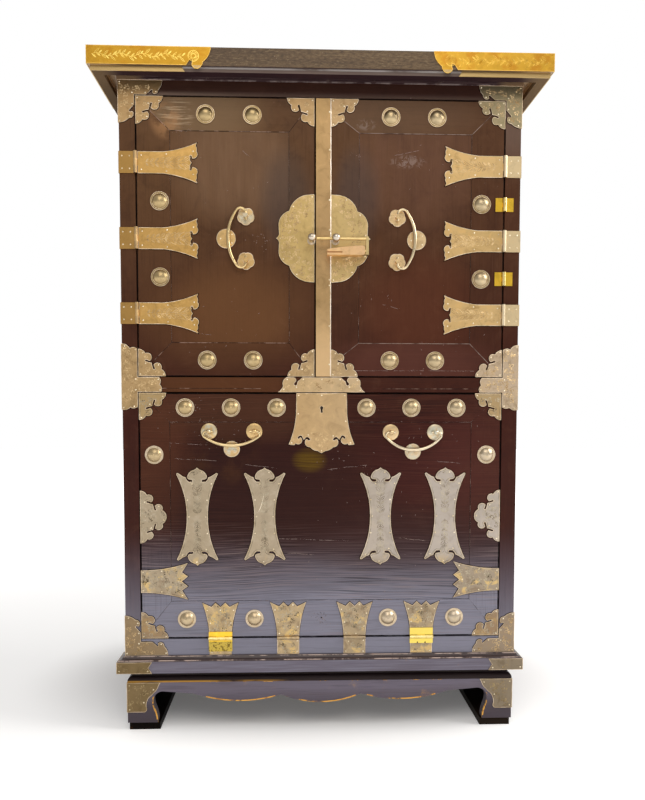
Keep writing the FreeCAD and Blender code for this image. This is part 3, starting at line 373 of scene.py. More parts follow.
def lacquered(wood, upper_sheen=1.0, floor_sheen=1.0):
    """The lacquer's colour, with a painted olive sheen high up and to the left and a painted reflection of
    the floor low on the front. It also notes the wood's slow cloud and the mask of that reflection.
    """
    wood.cloud = wood.mottle(5.0, 4.0, 0.6, twist=0.5)
    left = wood.x.share(0.45, -0.3)
    worn = wood.mottle(26.0, 5.0, 0.65, twist=0.6)
    # Painted sheen: olive, high up and most to the left.
    painted_sheen = wood.z.share(0.5, 1.0) * (0.1 + 0.4 * left + 0.35 * wood.cloud + 0.3 * worn) * upper_sheen
    front_only = wood.y.share(-0.16, -0.168)
    # Painted reflection of the white floor: grey-blue low on the front.
    wood.clouded = wood.z.share(0.35, 0.12) * front_only * (0.75 + 0.6 * wood.cloud) * floor_sheen
    dark = wood.streaks.share(0.5, 0.72) * 0.2 + wood.bands.share(0.5, 0.8) * 0.14
    dots = wood.specks(75.0, 0.06) * wood.mottle(9.0).share(0.5, 0.7)
    return wood.paint(
        (0.05, 0.011, 0.006), (painted_sheen, (0.165, 0.083, 0.034)),
        (worn.share(0.5, 0.72) * 0.12, (0.2, 0.09, 0.05)),
        (worn.share(0.5, 0.3) * 0.2, lacquer_black),
        (wood.clouded, (0.25, 0.245, 0.315)), (dark, lacquer_black),
        (wood.streaks.share(0.42, 0.3) * wood.bands.share(0.4, 0.7) * 0.1, (0.22, 0.12, 0.08)),
        (dots * 0.5, (0.32, 0.2, 0.15)))


def lay_lacquer(wood, tone, ridges, *nodes):
    height = wood.streaks * ridges + wood.bands * ridges * 0.5
    dress(wood.lay(base_color=tone, roughness=0.3 + 0.2 * wood.cloud + 0.1 * wood.streaks,
                   normal=wood.relief(height, 0.0006), specular_ior_level=0.1,
                   coat_weight=0.07 + 0.35 * wood.clouded, coat_roughness=0.2), *nodes)


wood = Finish("stile_lacquer", "z")
tone = lacquered(wood, 0.75, 0.75)
# Painted sheen at the top of the right stile.
pale = wood.x.share(0.28, 0.3) * wood.z.share(0.9, 0.99) * (0.35 + 0.4 * wood.cloud)
lay_lacquer(wood, wood.blend(pale, tone, (0.2, 0.135, 0.105)), 0.3, "front_stiles")

wood = Finish("side_lacquer", "z")
lay_lacquer(wood, lacquered(wood, 0.55), 0.3, "side_boards")

wood = Finish("lower_rail_lacquer", "x")
lay_lacquer(wood, lacquered(wood, 1.0, 1.1), 0.3, "lower_rail")

wood = Finish("middle_rail_lacquer", "x")
tone = lacquered(wood)
# Painted warm light on the left of the rail.
warm = wood.patch(-0.16, 0.576, 0.17, 0.06) * (0.2 + 0.45 * wood.cloud)
lay_lacquer(wood, wood.blend(warm, tone, (0.17, 0.065, 0.02)), 0.3, "middle_rail")

wood = Finish("top_rail_lacquer", "x")
tone = lacquered(wood, 0.15)
# Painted shade and light: the whole rail is darkened as under the overhang, and its lower part is painted
# lighter where it is lit.
lit = wood.z.share(1.0455, 1.038) * (0.25 + 0.75 * wood.x.share(-0.05, -0.3))
tone = wood.paint(tone, (0.3, (0.034, 0.026, 0.026)), (lit * 0.7, (0.27, 0.185, 0.14)))
lay_lacquer(wood, tone, 0.3, "top_rail")

# The top: a thick board on a stepped lip, scuffed and faded to olive-brown along its front.
# The dark cornice under it follows the overhang back to the case.

wood = Finish("top_board_lacquer", "x")
scuff = wood.mottle(1.0, 4.0, 0.7, wood.stretched(120.0, 120.0, 420.0))
dots = wood.specks(190.0, 0.12) * wood.mottle(11.0).share(0.4, 0.6)
# Painted shade and light: under the board and in its pockets the colour is dark along the front and bright
# brown at the ends, for light bounced into the recess.
painted_lit_board_ends = wood.x.size().share(0.3, 0.34) * wood.y.share(0.16, 0.04)
underneath = (wood.x.size() < 0.363) * (wood.y > -0.2075) * (wood.z < 1.093)
tone = wood.paint(
    (0.16, 0.1, 0.05), (wood.bands.share(0.3, 0.75), (0.085, 0.05, 0.028)),
    (scuff.share(0.52, 0.68) * 0.5, (0.3, 0.22, 0.115)),
    (scuff.share(0.5, 0.38) * 0.5, (0.04, 0.025, 0.015)),
    (wood.streaks.share(0.5, 0.7) * 0.3, (0.05, 0.03, 0.018)), (dots * 0.6, (0.5, 0.38, 0.26)),
    (underneath, wood.blend(painted_lit_board_ends, (0.09, 0.055, 0.052), (0.55, 0.38, 0.22))))
dress(wood.lay(base_color=tone, roughness=0.34 + 0.2 * wood.bands, specular_ior_level=0.2, coat_weight=0.1,
               normal=wood.relief(wood.streaks, 0.0005)), "top_board")

wood = Finish("top_lip_lacquer", "x")
# Painted highlight: a pale line along the lip's top edge, broken up by the rub noise. Under the lip the
# colour is painted: dark purple in front as shade, brown at the ends as bounced light.
rub = wood.mottle(1.0, 4.0, 0.6, wood.stretched(16.0, 16.0, 60.0)).share(0.3, 0.6)
painted_lit_lip_ends = wood.x.size().share(0.31, 0.35) * wood.y.share(0.16, 0.04)
painted_lip_underside = wood.blend(painted_lit_lip_ends, (0.042, 0.021, 0.025), (0.2, 0.13, 0.07))
tone = wood.paint(
    (0.12, 0.08, 0.07), (wood.streaks, (0.26, 0.2, 0.17)),
    (wood.z.share(1.0642, 1.0655) * rub * 0.85, (0.7, 0.65, 0.62)),
    (wood.z.share(1.0600, 1.0597), painted_lip_underside),
    ((wood.x.size() < 0.357) * (wood.y > -0.2), painted_lip_underside))
dress(wood.lay(base_color=tone, roughness=0.6 + 0.2 * wood.bands, specular_ior_level=0.06,
               normal=wood.relief(wood.streaks, 0.0004)), "top_lip")

wood = Finish("cornice_lacquer", "x")
# Painted bounced light: the cornice's ends, back from the front, are painted warm brown; lit_line is a
# painted highlight along its top.
dots = wood.specks(160.0, 0.09) * wood.mottle(14.0).share(0.45, 0.65)
lit_line = wood.z.share(1.0622, 1.0614) * wood.mottle(50.0, 3.0, 0.6).share(0.4, 0.6)
tone = wood.paint(
    (0.055, 0.027, 0.03), (wood.streaks.share(0.35, 0.7), (0.14, 0.088, 0.09)),
    (wood.mottle(60.0, 4.0, 0.65).share(0.6, 0.68) * 0.5, (0.25, 0.17, 0.15)),
    (dots.most(lit_line) * 0.6, (0.5, 0.4, 0.38)),
    (wood.x.size().share(0.28, 0.302) * wood.y.share(0.16, 0.04), (0.3, 0.19, 0.11)))
dress(wood.lay(base_color=tone, roughness=0.5 + 0.1 * wood.bands, specular_ior_level=0.12,
               normal=wood.relief(wood.streaks, 0.0004)), "cornice")

# Inside, the back, the bottom and the shelf between the tiers are bare softwood boards, gone grey-brown.
# The back is made of four planks, one over the other.

bare_pale = (0.3, 0.19, 0.1)
bare_brown = (0.17, 0.1, 0.055)
bare_dark = (0.1, 0.06, 0.035)
wood = Finish("bare_boards", "x")
tone = wood.paint(bare_pale, (wood.streaks.share(0.3, 0.75), bare_brown),
                  (wood.bands.share(0.4, 0.8) * 0.5, bare_dark))
dress(wood.lay(base_color=tone, roughness=0.65 + 0.2 * wood.bands,
               normal=wood.relief(wood.streaks, 0.0006, 0.6)), "bottom_board", "middle_board")

wood = Finish("back_boards", "x")
planks_low = 0.127
plank_height = 0.2375
rise = (wood.z - planks_low) / plank_height
on_plank = wood.node("ShaderNodeMath", {"operation": "FRACT"}, [rise])
plank = wood.node("ShaderNodeTexWhiteNoise", {"noise_dimensions": "1D"}, {"W": rise - on_plank})
seam = on_plank.share(0.009, 0.003)
tone = wood.paint(bare_pale, (wood.streaks.share(0.3, 0.75), bare_brown),
                  (plank * 0.45, (0.13, 0.075, 0.04)), (wood.bands.share(0.4, 0.8) * 0.5, bare_dark),
                  (seam * 0.9, (0.015, 0.008, 0.005)))
dress(wood.lay(base_color=tone, roughness=0.65 + 0.2 * wood.bands,
               normal=wood.relief(wood.streaks - seam * 3.0, 0.0006, 0.6)), "back_panel")

# The doors: a mitred frame round a flush panel, lacquered like the case. The grain stands upright in
# the panels and runs along each member of the frames. The top members carry the most painted sheen.

wood = Finish("door_panel_lacquer", "z")
tone = lacquered(wood, 0.9)
worn = wood.mottle(1.0, 4.0, 0.6, wood.stretched(60.0, 60.0, 9.0)).share(0.4, 0.66)
scuff = wood.patch(0.139, 0.938, 0.036, 0.013) * wood.mottle(120.0, 4.0, 0.7, twist=1.0).share(0.45, 0.62)
beside_lock = (0.075, 0.062, 0.06)
# Painted light: the warm patch low on the left door, and the olive patches high on both panels, most on the
# left, are painted light and sheen.
tone = wood.paint(
    tone, (wood.patch(-0.14, 0.69, 0.15, 0.11) * (0.35 + 0.5 * wood.cloud), (0.19, 0.082, 0.03)),
    (wood.patch(0.16, 0.7, 0.13, 0.12) * 0.4, (0.13, 0.034, 0.014)),
    (wood.patch(-0.14, 0.94, 0.13, 0.13) * (0.4 + 0.15 * worn), (0.26, 0.15, 0.085)),
    (wood.patch(0.15, 0.94, 0.15, 0.14) * (0.25 + 0.12 * worn), (0.21, 0.1, 0.065)),
    (wood.patch(-0.06, 0.875, 0.05, 0.1) * 0.4, beside_lock),
    (wood.patch(0.055, 0.88, 0.05, 0.1) * 0.4, beside_lock), (scuff * 0.42, (0.4, 0.3, 0.26)))
lay_lacquer(wood, tone, 0.4, "left_door_panel", "right_door_panel")


def frame_wood(name, outer, inner):
    """The wood of a mitred frame: the grain turns with the members. Sizes are in millimetres."""
    wood = Finish(name, "z")
    x0, x1, z0, z1 = [value * mm for value in inner]
    upright = (x0 - wood.x).most(wood.x - x1)
    level = (z0 - wood.z).most(wood.z - z1)
    wood.lying = level > upright * ((inner[2] - outer[2]) / (inner[0] - outer[0]))
    streaks, bands = wood.grain("x")
    wood.streaks = wood.streaks + wood.lying * (streaks - wood.streaks)
    wood.bands = wood.bands + wood.lying * (bands - wood.bands)
    return wood


left_door_frame = (-298.4, -12.1, 590.1, 1035.9)
left_door_opening = (-244.4, -53.1, 644.6, 982.4)
rim = frame_wood("left_door_frame_lacquer", left_door_frame, left_door_opening)
tone = lacquered(rim, 0.9)
sheen = rim.mottle(1.0, 4.0, 0.7, rim.stretched(22.0, 22.0, 330.0)).share(0.48, 0.62)
rub = rim.patch(-0.25, 0.998, 0.03, 0.035) * rim.mottle(40.0, 4.0, 0.6).share(0.42, 0.62)
# Painted light: an olive sheen on the top member, with streaks of painted highlight near its left end, and
# warm painted light low on the left. The orange at the mitre is worn wood.
tone = rim.paint(
    tone, (rim.patch(-0.225, 1.01, 0.16, 0.075) * rim.lying * (0.3 + 0.5 * rim.cloud),
           (0.28, 0.18, 0.095)),
    (rim.patch(-0.232, 1.01, 0.036, 0.026) * sheen * 0.6, (0.66, 0.5, 0.32)),
    (rub * 0.5, (0.55, 0.28, 0.12)),
    (rim.patch(-0.15, 0.69, 0.19, 0.12) * (0.2 + 0.35 * rim.cloud), (0.17, 0.075, 0.027)),
    (rim.patch(-0.06, 0.875, 0.055, 0.1) * 0.4, (0.07, 0.06, 0.055)))
lay_lacquer(rim, tone, 0.35, "left_door_frame")

right_door_frame = (-9.5, 298.4, 590.1, 1035.9)
right_door_opening = (60.5, 244.4, 644.6, 982.4)
rim = frame_wood("right_door_frame_lacquer", right_door_frame, right_door_opening)
tone = lacquered(rim, 0.9)
scuff = rim.patch(0.071, 0.996, 0.02, 0.012) * rim.mottle(110.0, 4.0, 0.7, twist=1.0).share(0.45, 0.62)
# Painted sheen on the top member.
tone = rim.paint(
    tone, (rim.patch(0.1, 1.01, 0.2, 0.06) * rim.lying * 0.35, (0.2, 0.12, 0.07)),
    (scuff * 0.4, (0.36, 0.28, 0.24)), (rim.patch(0.15, 0.61, 0.17, 0.06) * 0.4, (0.16, 0.055, 0.04)),
    (rim.patch(0.055, 0.88, 0.045, 0.1) * 0.4, (0.08, 0.065, 0.065)))
lay_lacquer(rim, tone, 0.35, "right_door_frame")

# The drop front: the same make as the doors, with the grain lying level, waving about old knots and
# standing up in fine ridges. A yellow stain shows below the keyhole plate.

drop_frame = (-298.4, 298.4, 156.1, 562.9)
drop_opening = (-248.9, 248.9, 218.1, 515.4)


def drop_lacquer(wood, node):
    # lacquered paints its floor reflection strongest here, greying the front low down.
    tone = lacquered(wood, 0.6, 1.6)
    swing = wood.mottle(1.0, 2.0, 0.5, wood.stretched(3.0, 1.0, 6.0))
    wavy = wood.node("ShaderNodeCombineXYZ", {}, [wood.x * 8.0, wood.y, (wood.z + swing * 0.03) * 900.0])
    ridge = wood.mottle(1.0, 2.0, 0.55, wavy)
    faint = wood.mottle(5.0, 2.0).share(0.35, 0.65)
    strong = (0.3 + 0.35 * faint) * (wood.z.share(0.2, 0.26) * 0.6 + 0.4)
    boundary = wood.z.share(0.19, 0.25) * wood.z.share(0.37, 0.3) * (0.4 + 0.6 * faint)
    glow = wood.patch(-0.16, 0.45, 0.07, 0.05) * wood.mottle(14.0, 4.0, 0.6).share(0.4, 0.65)
    stain = wood.patch(-0.02, 0.4525, 0.033, 0.024) * (0.55 + 0.5 * wood.cloud)
    tone = wood.paint(
        tone, (ridge.share(0.5, 0.66) * strong, (0.005, 0.002, 0.002)),
        (ridge.share(0.46, 0.34) * (0.06 + 0.16 * faint), (0.22, 0.09, 0.05)),
        (ridge.share(0.52, 0.6) * boundary * 0.7, (0.006, 0.003, 0.004)),
        (ridge.share(0.46, 0.38) * boundary * 0.55, (0.34, 0.26, 0.25)),
        (wood.patch(0.12, 0.325, 0.24, 0.065) * 0.6, (0.04, 0.014, 0.013)),
        (wood.patch(-0.11, 0.4, 0.22, 0.12) * 0.65, (0.018, 0.004, 0.0025)),
        (wood.patch(-0.05, 0.43, 0.34, 0.15) * 0.5, (0.03, 0.005, 0.003)),
        (wood.patch(-0.13, 0.53, 0.2, 0.06) * 0.35, (0.12, 0.05, 0.022)),
        (wood.patch(-0.27, 0.45, 0.07, 0.14) * 0.3, (0.13, 0.04, 0.014)),
        (wood.patch(0.18, 0.45, 0.14, 0.1) * 0.3, (0.085, 0.014, 0.012)),
        (glow * 0.3, (0.15, 0.06, 0.015)),
        (wood.patch(0.3, 0.44, 0.16, 0.14) * 0.3, (0.12, 0.035, 0.025)),
        (wood.patch(-0.3, 0.5, 0.09, 0.12) * 0.2, (0.14, 0.05, 0.025)),
        (stain * (0.3 + 0.45 * ridge.share(0.62, 0.45)), (0.19, 0.11, 0.003)))
    wood.streaks, wood.bands = ridge, wood.streaks
    lay_lacquer(wood, tone, 0.7, node)


drop_lacquer(Finish("drop_panel_lacquer", "x"), "drop_front_panel")
drop_lacquer(frame_wood("drop_frame_lacquer", drop_frame, drop_opening), "drop_front_frame")

# The straps: sheet brass 1.2 mm thick, sawn to a lily shape, nailed to the door and rolled round
# a pin at the stile. Each is chased with a spray of long leaves. It has aged to tan; its paler, bluer tint
# to the right is painted reflection.

rides_on = {node: body for body, nodes in frame["record"]["behaviour"]["bodies"].items() for node in nodes}
wood_level = 0.1699
sheet_level = wood_level + 1.2 * mm


def brass(name, tone, *nodes, low=None, rough=0.42, age=1.0, worked=None, reflection_to_right=0.75, reflection_most=1.0):
    """Dresses nodes in aged sheet brass, mottled and darker in patches. Low down it is painted paler, and to
    the right paler and bluer:
    painted reflection of the white floor and of the light from the right. worked adds a mount's own marks,
    and on some mounts painted light, to the colour."""
    metal = Finish(name)
    cloud = metal.mottle(15.0, 4.0, 0.6)
    spots = metal.mottle(60.0, 4.0, 0.65, twist=0.8)

    def turned(*shares):
        return [part * share for part, share in zip(tone, shares)]

    # Painted reflection: the tone turns to low down the chest, and grows paler and bluer to the right.
    tint = metal.blend(metal.z.share(0.6, 0.3), tone, low or tone)
    reflected_tint = metal.node("ShaderNodeVectorMath", {"operation": "MULTIPLY"}, [tint, (1.2, 1.45, 2.3)])
    tint = metal.paint(
        tint, ((metal.x.share(-0.15, 0.4) * reflection_to_right).least(reflection_most), reflected_tint),
        (cloud.share(0.45, 0.75) * 0.3 * age, turned(0.6, 0.66, 0.6)),
        (spots.share(0.5, 0.68) * 0.42 * age, turned(0.52, 0.5, 0.5)),
        (spots.share(0.48, 0.32) * 0.4, turned(1.3, 1.35, 1.5)))
    if worked:
        tint = metal.paint(tint, *worked(metal))
    fine = metal.mottle(420.0, 2.0, 0.5)
    dress(metal.lay(base_color=tint, metallic=1.0, roughness=rough + 0.12 * cloud - 0.08 * spots,
                    normal=metal.relief(fine * 0.4 + spots * 0.6, 0.0003, 0.4)), *nodes)


def barrel_highlight(metal):
    """The rolled barrels stand proud of the sheet and carry a painted highlight, brightest to the right."""
    lit = metal.y.share(-0.1714, -0.1722) * (0.25 + 0.6 * metal.x.share(-0.1, 0.1))
    return [(lit, (0.8, 0.68, 0.48))]


def dull_leaf(metal):
    """The leaves on the left stile have gone browner than the straps, those on the right are paler, and the
    barrels carry the painted highlight.
    """
    return [(metal.x.share(0.0, -0.2) * 0.7, (0.36, 0.205, 0.06)),
            (metal.x.share(0.1, 0.25) * 0.5, (0.72, 0.62, 0.42)), *barrel_highlight(metal)]


strap_nodes = ("left_door_hinge_straps", "right_door_hinge_straps")
strap_tone = (0.6, 0.36, 0.115)
brass("strap_brass", strap_tone, *strap_nodes, worked=barrel_highlight)
brass("stile_leaf_brass", strap_tone, "stile_hinge_leaves", worked=dull_leaf)


def off(x, z, reach, way):
    """The point a reach away from a place on the front, in the direction way."""
    return x + reach * math.cos(way), z + reach * math.sin(way)


def stroke_finish(name, light, dark, rough=0.4):
    metal = Finish(name)
    cloud = metal.mottle(90.0, 3.0, 0.6)
    return metal.lay(base_color=metal.blend(cloud.share(0.35, 0.7), light, dark), metallic=1.0,
                     roughness=rough + 0.2 * cloud)


chased_finish = stroke_finish("chased_line_brass", (0.72, 0.53, 0.29), (0.34, 0.22, 0.1))
chased_pale = stroke_finish("chased_line_pale_brass", (0.52, 0.45, 0.33), (0.1, 0.075, 0.04))
rubbed_finish = stroke_finish("rubbed_brass_edge", (0.84, 0.68, 0.5), (0.5, 0.37, 0.22), 0.36)
nail_finish = stroke_finish("nail_brass", (0.92, 0.82, 0.62), (0.6, 0.48, 0.28), 0.24)


def strokes(name, lines, body, finish=chased_finish, level=sheet_level, width=0.8 * mm, rise=0.2 * mm,
            closed=False):
    """Chased strokes: each line, given as (across, up) points, stands up as a low ridge."""
    points = []
    faces = []
    for line in lines:
        count = len(line)
        first = len(points)
        for index, (x, z) in enumerate(line):
            behind = line[index - 1] if index or closed else line[0]
            ahead = line[(index + 1) % count] if index + 1 < count or closed else line[-1]
            run = math.hypot(ahead[0] - behind[0], ahead[1] - behind[1]) or 1.0
            taper = 1.0 if closed else math.sin(math.pi * (0.12 + 0.76 * index / max(1, count - 1)))
            side_x = -(ahead[1] - behind[1]) / run * width * taper / 2
            side_z = (ahead[0] - behind[0]) / run * width * taper / 2
            foot = -level - 0.02 * mm
            points += [(x - side_x, foot, z - side_z), (x, foot - rise * taper, z),
                       (x + side_x, foot, z + side_z)]
        for index in range(count if closed else count - 1):
            here = first + index * 3
            there = first + (index + 1) % count * 3
            faces += [(here, there, there + 1, here + 1), (here + 1, there + 1, there + 2, here + 2)]
    mesh_piece(name, points, faces, finish, body)


def leaf(x, z, way, length, plump=0.22, vein=True):
    """A pointed leaf: two bowed sides and a middle vein."""
    lines = []
    for bow in (plump, -plump):
        line = []
        for index in range(8):
            ahead = length * index / 7
            aside = bow * length * math.sin(math.pi * index / 7)
            line.append((x + ahead * math.cos(way) - aside * math.sin(way),
                         z + ahead * math.sin(way) + aside * math.cos(way)))
        lines.append(line)
    if vein:
        lines.append([off(x, z, length * share, way) for share in (0.1, 0.35, 0.6, 0.8)])
    return lines


def nails(name, spots, body, level=sheet_level, radius=1.35 * mm, rise=0.75 * mm, finish=nail_finish):
    """Small round heads, driven through a mount near its edges and lobes."""
    points = []
    faces = []
    sides = 10
    for x, z in spots:
        first = len(points)
        for reach, height in ((1.0, 0.0), (0.86, 0.5), (0.55, 0.85)):
            for index in range(sides):
                across, up = off(x, z, radius * reach, 2 * math.pi * index / sides)
                points.append((across, -level - rise * height, up))
        points.append((x, -level - rise, z))
        for ring in range(3):
            for index in range(sides):
                following = (index + 1) % sides
                here = first + ring * sides
                above = (here + sides + following, here + sides + index)
                tip = (first + 3 * sides,)
                faces.append((here + index, here + following, *(above if ring < 2 else tip)))
    mesh_piece(name, points, faces, finish, body, smooth=True)


def rubbed_edge(name, node, level=None, width=0.7 * mm, rise=0.1 * mm, finish=rubbed_finish):
    edge_band(name, outlines(node, level), 0.0, width, rise, finish, rides_on[node])


strap_root = 0.2942
strap_length = 96.5 * mm
strap_half = 32 * mm
strap_levels = (0.6915, 0.8115, 0.9315)


def on_strap(side, level, share, up):
    return side * (strap_root - strap_length * share), level + up


def spray(side, level):
    """A stem with leaves that grow longer as the strap widens."""
    stem = [(0.08 + 0.74 * step / 14, 0.9 * mm * math.sin(step * 0.9)) for step in range(15)]
    lines = [[on_strap(side, level, *point) for point in stem]]
    for index in range(9):
        for hand in (-1, 1):
            x, z = on_strap(side, level, 0.12 + 0.075 * index, hand * 0.8 * mm)
            way = (math.pi if side > 0 else 0) - side * hand * (0.85 - 0.03 * index)
            lines += leaf(x, z, way, (6.5 + 1.5 * index) * mm, 0.15, index % 2 == 0)
    return lines


for side, node in zip((-1, 1), strap_nodes):
    body = rides_on[node]
    strokes(node + "_chasing", [line for level in strap_levels for line in spray(side, level)], body)
    spots = [on_strap(side, level, share, hand * half * strap_half) for level in strap_levels
             for share, half in ((0.045, 0.35), (0.46, 0.42), (0.9, 0.57)) for hand in (-1, 1)]
    nails(node + "_nails", spots, body)
    rubbed_edge(node + "_edge", node, sheet_level)
nails("stile_leaf_nails", [(side * x, level + up * mm) for side in (-1, 1) for level in strap_levels
                           for x in (0.3085, 0.3205) for up in (-10, 10)], "case")

# The cloud mounts: cloud-shaped corner pieces on doors, drop front and case, and the cloud below the doors.
# Chased with scrolls and leaves, nailed along their lobes; the upper ones are darkest under the overhang.


# Painted shade at the top, under the overhang; the top right plates are also greyer green, and the lowest
# plates darker brown.
def shaded_top(metal):
    return [(metal.z.share(0.97, 1.045) * 0.35, (0.3, 0.17, 0.07)),
            (metal.x.share(0.17, 0.3) * metal.z.share(0.92, 0.98) * 0.6, (0.25, 0.24, 0.13)),
            (metal.z.share(0.27, 0.23) * 0.72, (0.235, 0.16, 0.09))]


door_clouds = ("left_door_corner_plates", "right_door_corner_plates")
brass("corner_brass", (0.49, 0.325, 0.155), *door_clouds, "frame_corner_plates", low=(0.42, 0.32, 0.19),
      age=1.2, worked=shaded_top)
brass("rail_cloud_brass", (0.58, 0.4, 0.2), "rail_cloud_plate", age=0.8)


def inside(loop, x, z):
    within = False
    for index, here in enumerate(loop):
        before = loop[index - 1]
        if (here.z > z) != (before.z > z):
            if x < (before.x - here.x) * (z - here.z) / (before.z - here.z) + here.x:
                within = not within
    return within


def clear_of(loop, x, z):
    """How far a point is from an outline."""
    nearest = 1.0
    for index, here in enumerate(loop):
        before = loop[index - 1]
        run_x, run_z = here.x - before.x, here.z - before.z
        length = run_x ** 2 + run_z ** 2 or 1e-12
        share = max(0.0, min(1.0, ((x - before.x) * run_x + (z - before.z) * run_z) / length))
        nearest = min(nearest, math.hypot(x - before.x - share * run_x, z - before.z - share * run_z))
    return nearest


def curl(x, z, size, start, hand):
    """A scroll that winds in towards its middle."""
    steps = 15
    turns = 1.15
    line = []
    for index in range(steps + 1):
        way = start + hand * 2 * math.pi * turns * index / steps
        line.append(off(x, z, size * (1 - 0.82 * index / steps), way))
    return line


luck = random.Random(7)


def sprigs(loop, pitch, keep=None):
    """Scrolls with leaves, scattered over a plate and kept clear of its edge."""
    lines = []
    low_x, high_x = min(point.x for point in loop), max(point.x for point in loop)
    low_z, high_z = min(point.z for point in loop), max(point.z for point in loop)
    for row in range(int((high_z - low_z) / pitch) + 1):
        for column in range(int((high_x - low_x) / pitch) + 1):
            x = low_x + (column + 0.5 + luck.uniform(-0.22, 0.22)) * pitch
            z = low_z + (row + 0.5 + luck.uniform(-0.22, 0.22)) * pitch
            start = luck.uniform(0, 2 * math.pi)
            hand = luck.choice((-1, 1))
            size = pitch * luck.uniform(0.3, 0.4)
            if not inside(loop, x, z) or clear_of(loop, x, z) < size + 1.2 * mm or (keep and not keep(x, z)):
                continue
            lines.append(curl(x, z, size, start, hand))
            for turn in (0.35, 1.0, 1.7):
                way = start + hand * turn
                tip = off(x, z, size * 1.9, way)
                if inside(loop, *tip) and clear_of(loop, *tip) > 1.0 * mm:
                    lines += leaf(*off(x, z, size, way), way + hand * 0.5, size * 0.85)
    return lines


def along_edge(loop, reach, pitch):
    """Places for nails: a little inside an outline, about pitch apart."""
    spots = []
    for point in inset(loop, reach):
        if not inside(loop, point.x, point.z) or clear_of(loop, point.x, point.z) < reach * 0.85:
            continue
        if all(math.hypot(point.x - x, point.z - z) > pitch for x, z in spots):
            spots.append((point.x, point.z))
    return spots


def chase(node, pitch, nailed, border=None, keep=None, level=sheet_level, smallest=12, finish=chased_finish):
    """Works one mount: rubbed edge, scrolls with leaves, a line inside the edge, and nails, which are given
    as how far in and how far apart."""
    body = rides_on[node]
    rubbed_edge(node + "_edge", node, level)
    large = [loop for loop in outlines(node, level) if len(loop) > smallest]
    lines = [line for loop in large for line in sprigs(loop, pitch, keep)]
    strokes(node + "_chasing", lines, body, finish, level)
    if border:
        rims = [[(point.x, point.z) for point in inset(loop, border)] for loop in large]
        strokes(node + "_border", rims, body, finish, level, 0.55 * mm, 0.12 * mm, closed=True)
    nails(node + "_nails", [spot for loop in large for spot in along_edge(loop, *nailed)], body, level)


for node, pitch in zip((*door_clouds, "frame_corner_plates", "rail_cloud_plate"), (9, 9, 10, 9)):
    chase(node, pitch * mm, (3.2 * mm, 17 * mm))

# The lock plate: a large eight-lobed mount split between the doors, chased with scrolls round its rim
# and left plain in the middle, under the full-height strip that covers the meeting of the doors.

lock_plates = ("left_lock_plate", "right_lock_plate")
lock_x, lock_z, lock_plain = 2.5 * mm, 813.5 * mm, 46 * mm
brass("lock_plate_brass", (0.55, 0.38, 0.145), *lock_plates, age=0.7)
for node in lock_plates:
    chase(node, 8.5 * mm, (3.6 * mm, 33 * mm), 3 * mm,
          lambda x, z: math.hypot(x - lock_x, z - lock_z) > lock_plain)
# Painted reflection: the strip is painted paler low down, as the white floor would show in it.
brass("strip_brass", (0.44, 0.275, 0.115), "meeting_strip", age=0.8,
      worked=lambda metal: [(metal.z.share(0.72, 0.62) * 0.75, (0.78, 0.53, 0.28))])
strip_level = wood_level + 1.6 * mm
strip_loop = outlines("meeting_strip")[0]
strip_right = max(point.x for point in strip_loop)
strip_ends = (min(point.z for point in strip_loop), max(point.z for point in strip_loop))
bead_across = ((-1.5, 0.0), (-1.1, 0.4), (-0.6, 0.42), (-0.1, 0.0))
bead_points = [(strip_right + across * mm, -strip_level - (out + 0.01) * mm, z) for z in strip_ends
               for across, out in bead_across]
bead_faces = [(0, 1, 5, 4), (1, 2, 6, 5), (2, 3, 7, 6), (3, 2, 1, 0), (4, 5, 6, 7)]
# The bead's near-white colour is a painted highlight along the strip's right edge.
bead_highlight_finish = stroke_finish("strip_bead_highlight_brass", (1.0, 0.92, 0.8), (0.75, 0.62, 0.45), 0.35)
mesh_piece("meeting_strip_bead", bead_points, bead_faces, bead_highlight_finish, "right_door")
strip_nails = [(12.4 * mm, z) for z in (0.6725, 0.7385, 0.7475, 0.8275, 0.8755, 0.955, 1.015, 0.61)]
nails("meeting_strip_nails", strip_nails, "right_door", strip_level, 1.5 * mm)

# The drop front's mounts: four waisted plates cut like two lilies end to end, half clouds and lying
# crowns at the sides, crown-shaped straps at the foot and the keyhole plate. Painted paler and greyer than
# those above, as a reflection of the white floor.


def golden_patches(metal):
    """Rubbed yellow in places and brown in others, as at the foot and the sides of the drop front."""
    place = metal.mottle(48.0, 4.0, 0.6, twist=0.5)
    lower = metal.z.share(0.3, 0.275)
    corners = metal.z.share(0.24, 0.215) * metal.x.size().share(0.21, 0.235)
    return [(lower * (0.08 + metal.x.share(-0.2, 0.2) * 0.52), (0.27, 0.2, 0.115)),
            (place.share(0.52, 0.64) * lower * 0.8, (0.7, 0.49, 0.2)),
            (place.share(0.46, 0.36) * lower * 0.6, (0.22, 0.155, 0.095)),
            (corners * 0.75, (0.29, 0.185, 0.1)),
            (metal.z.share(0.46, 0.49) * 0.9, (0.46, 0.315, 0.145))]


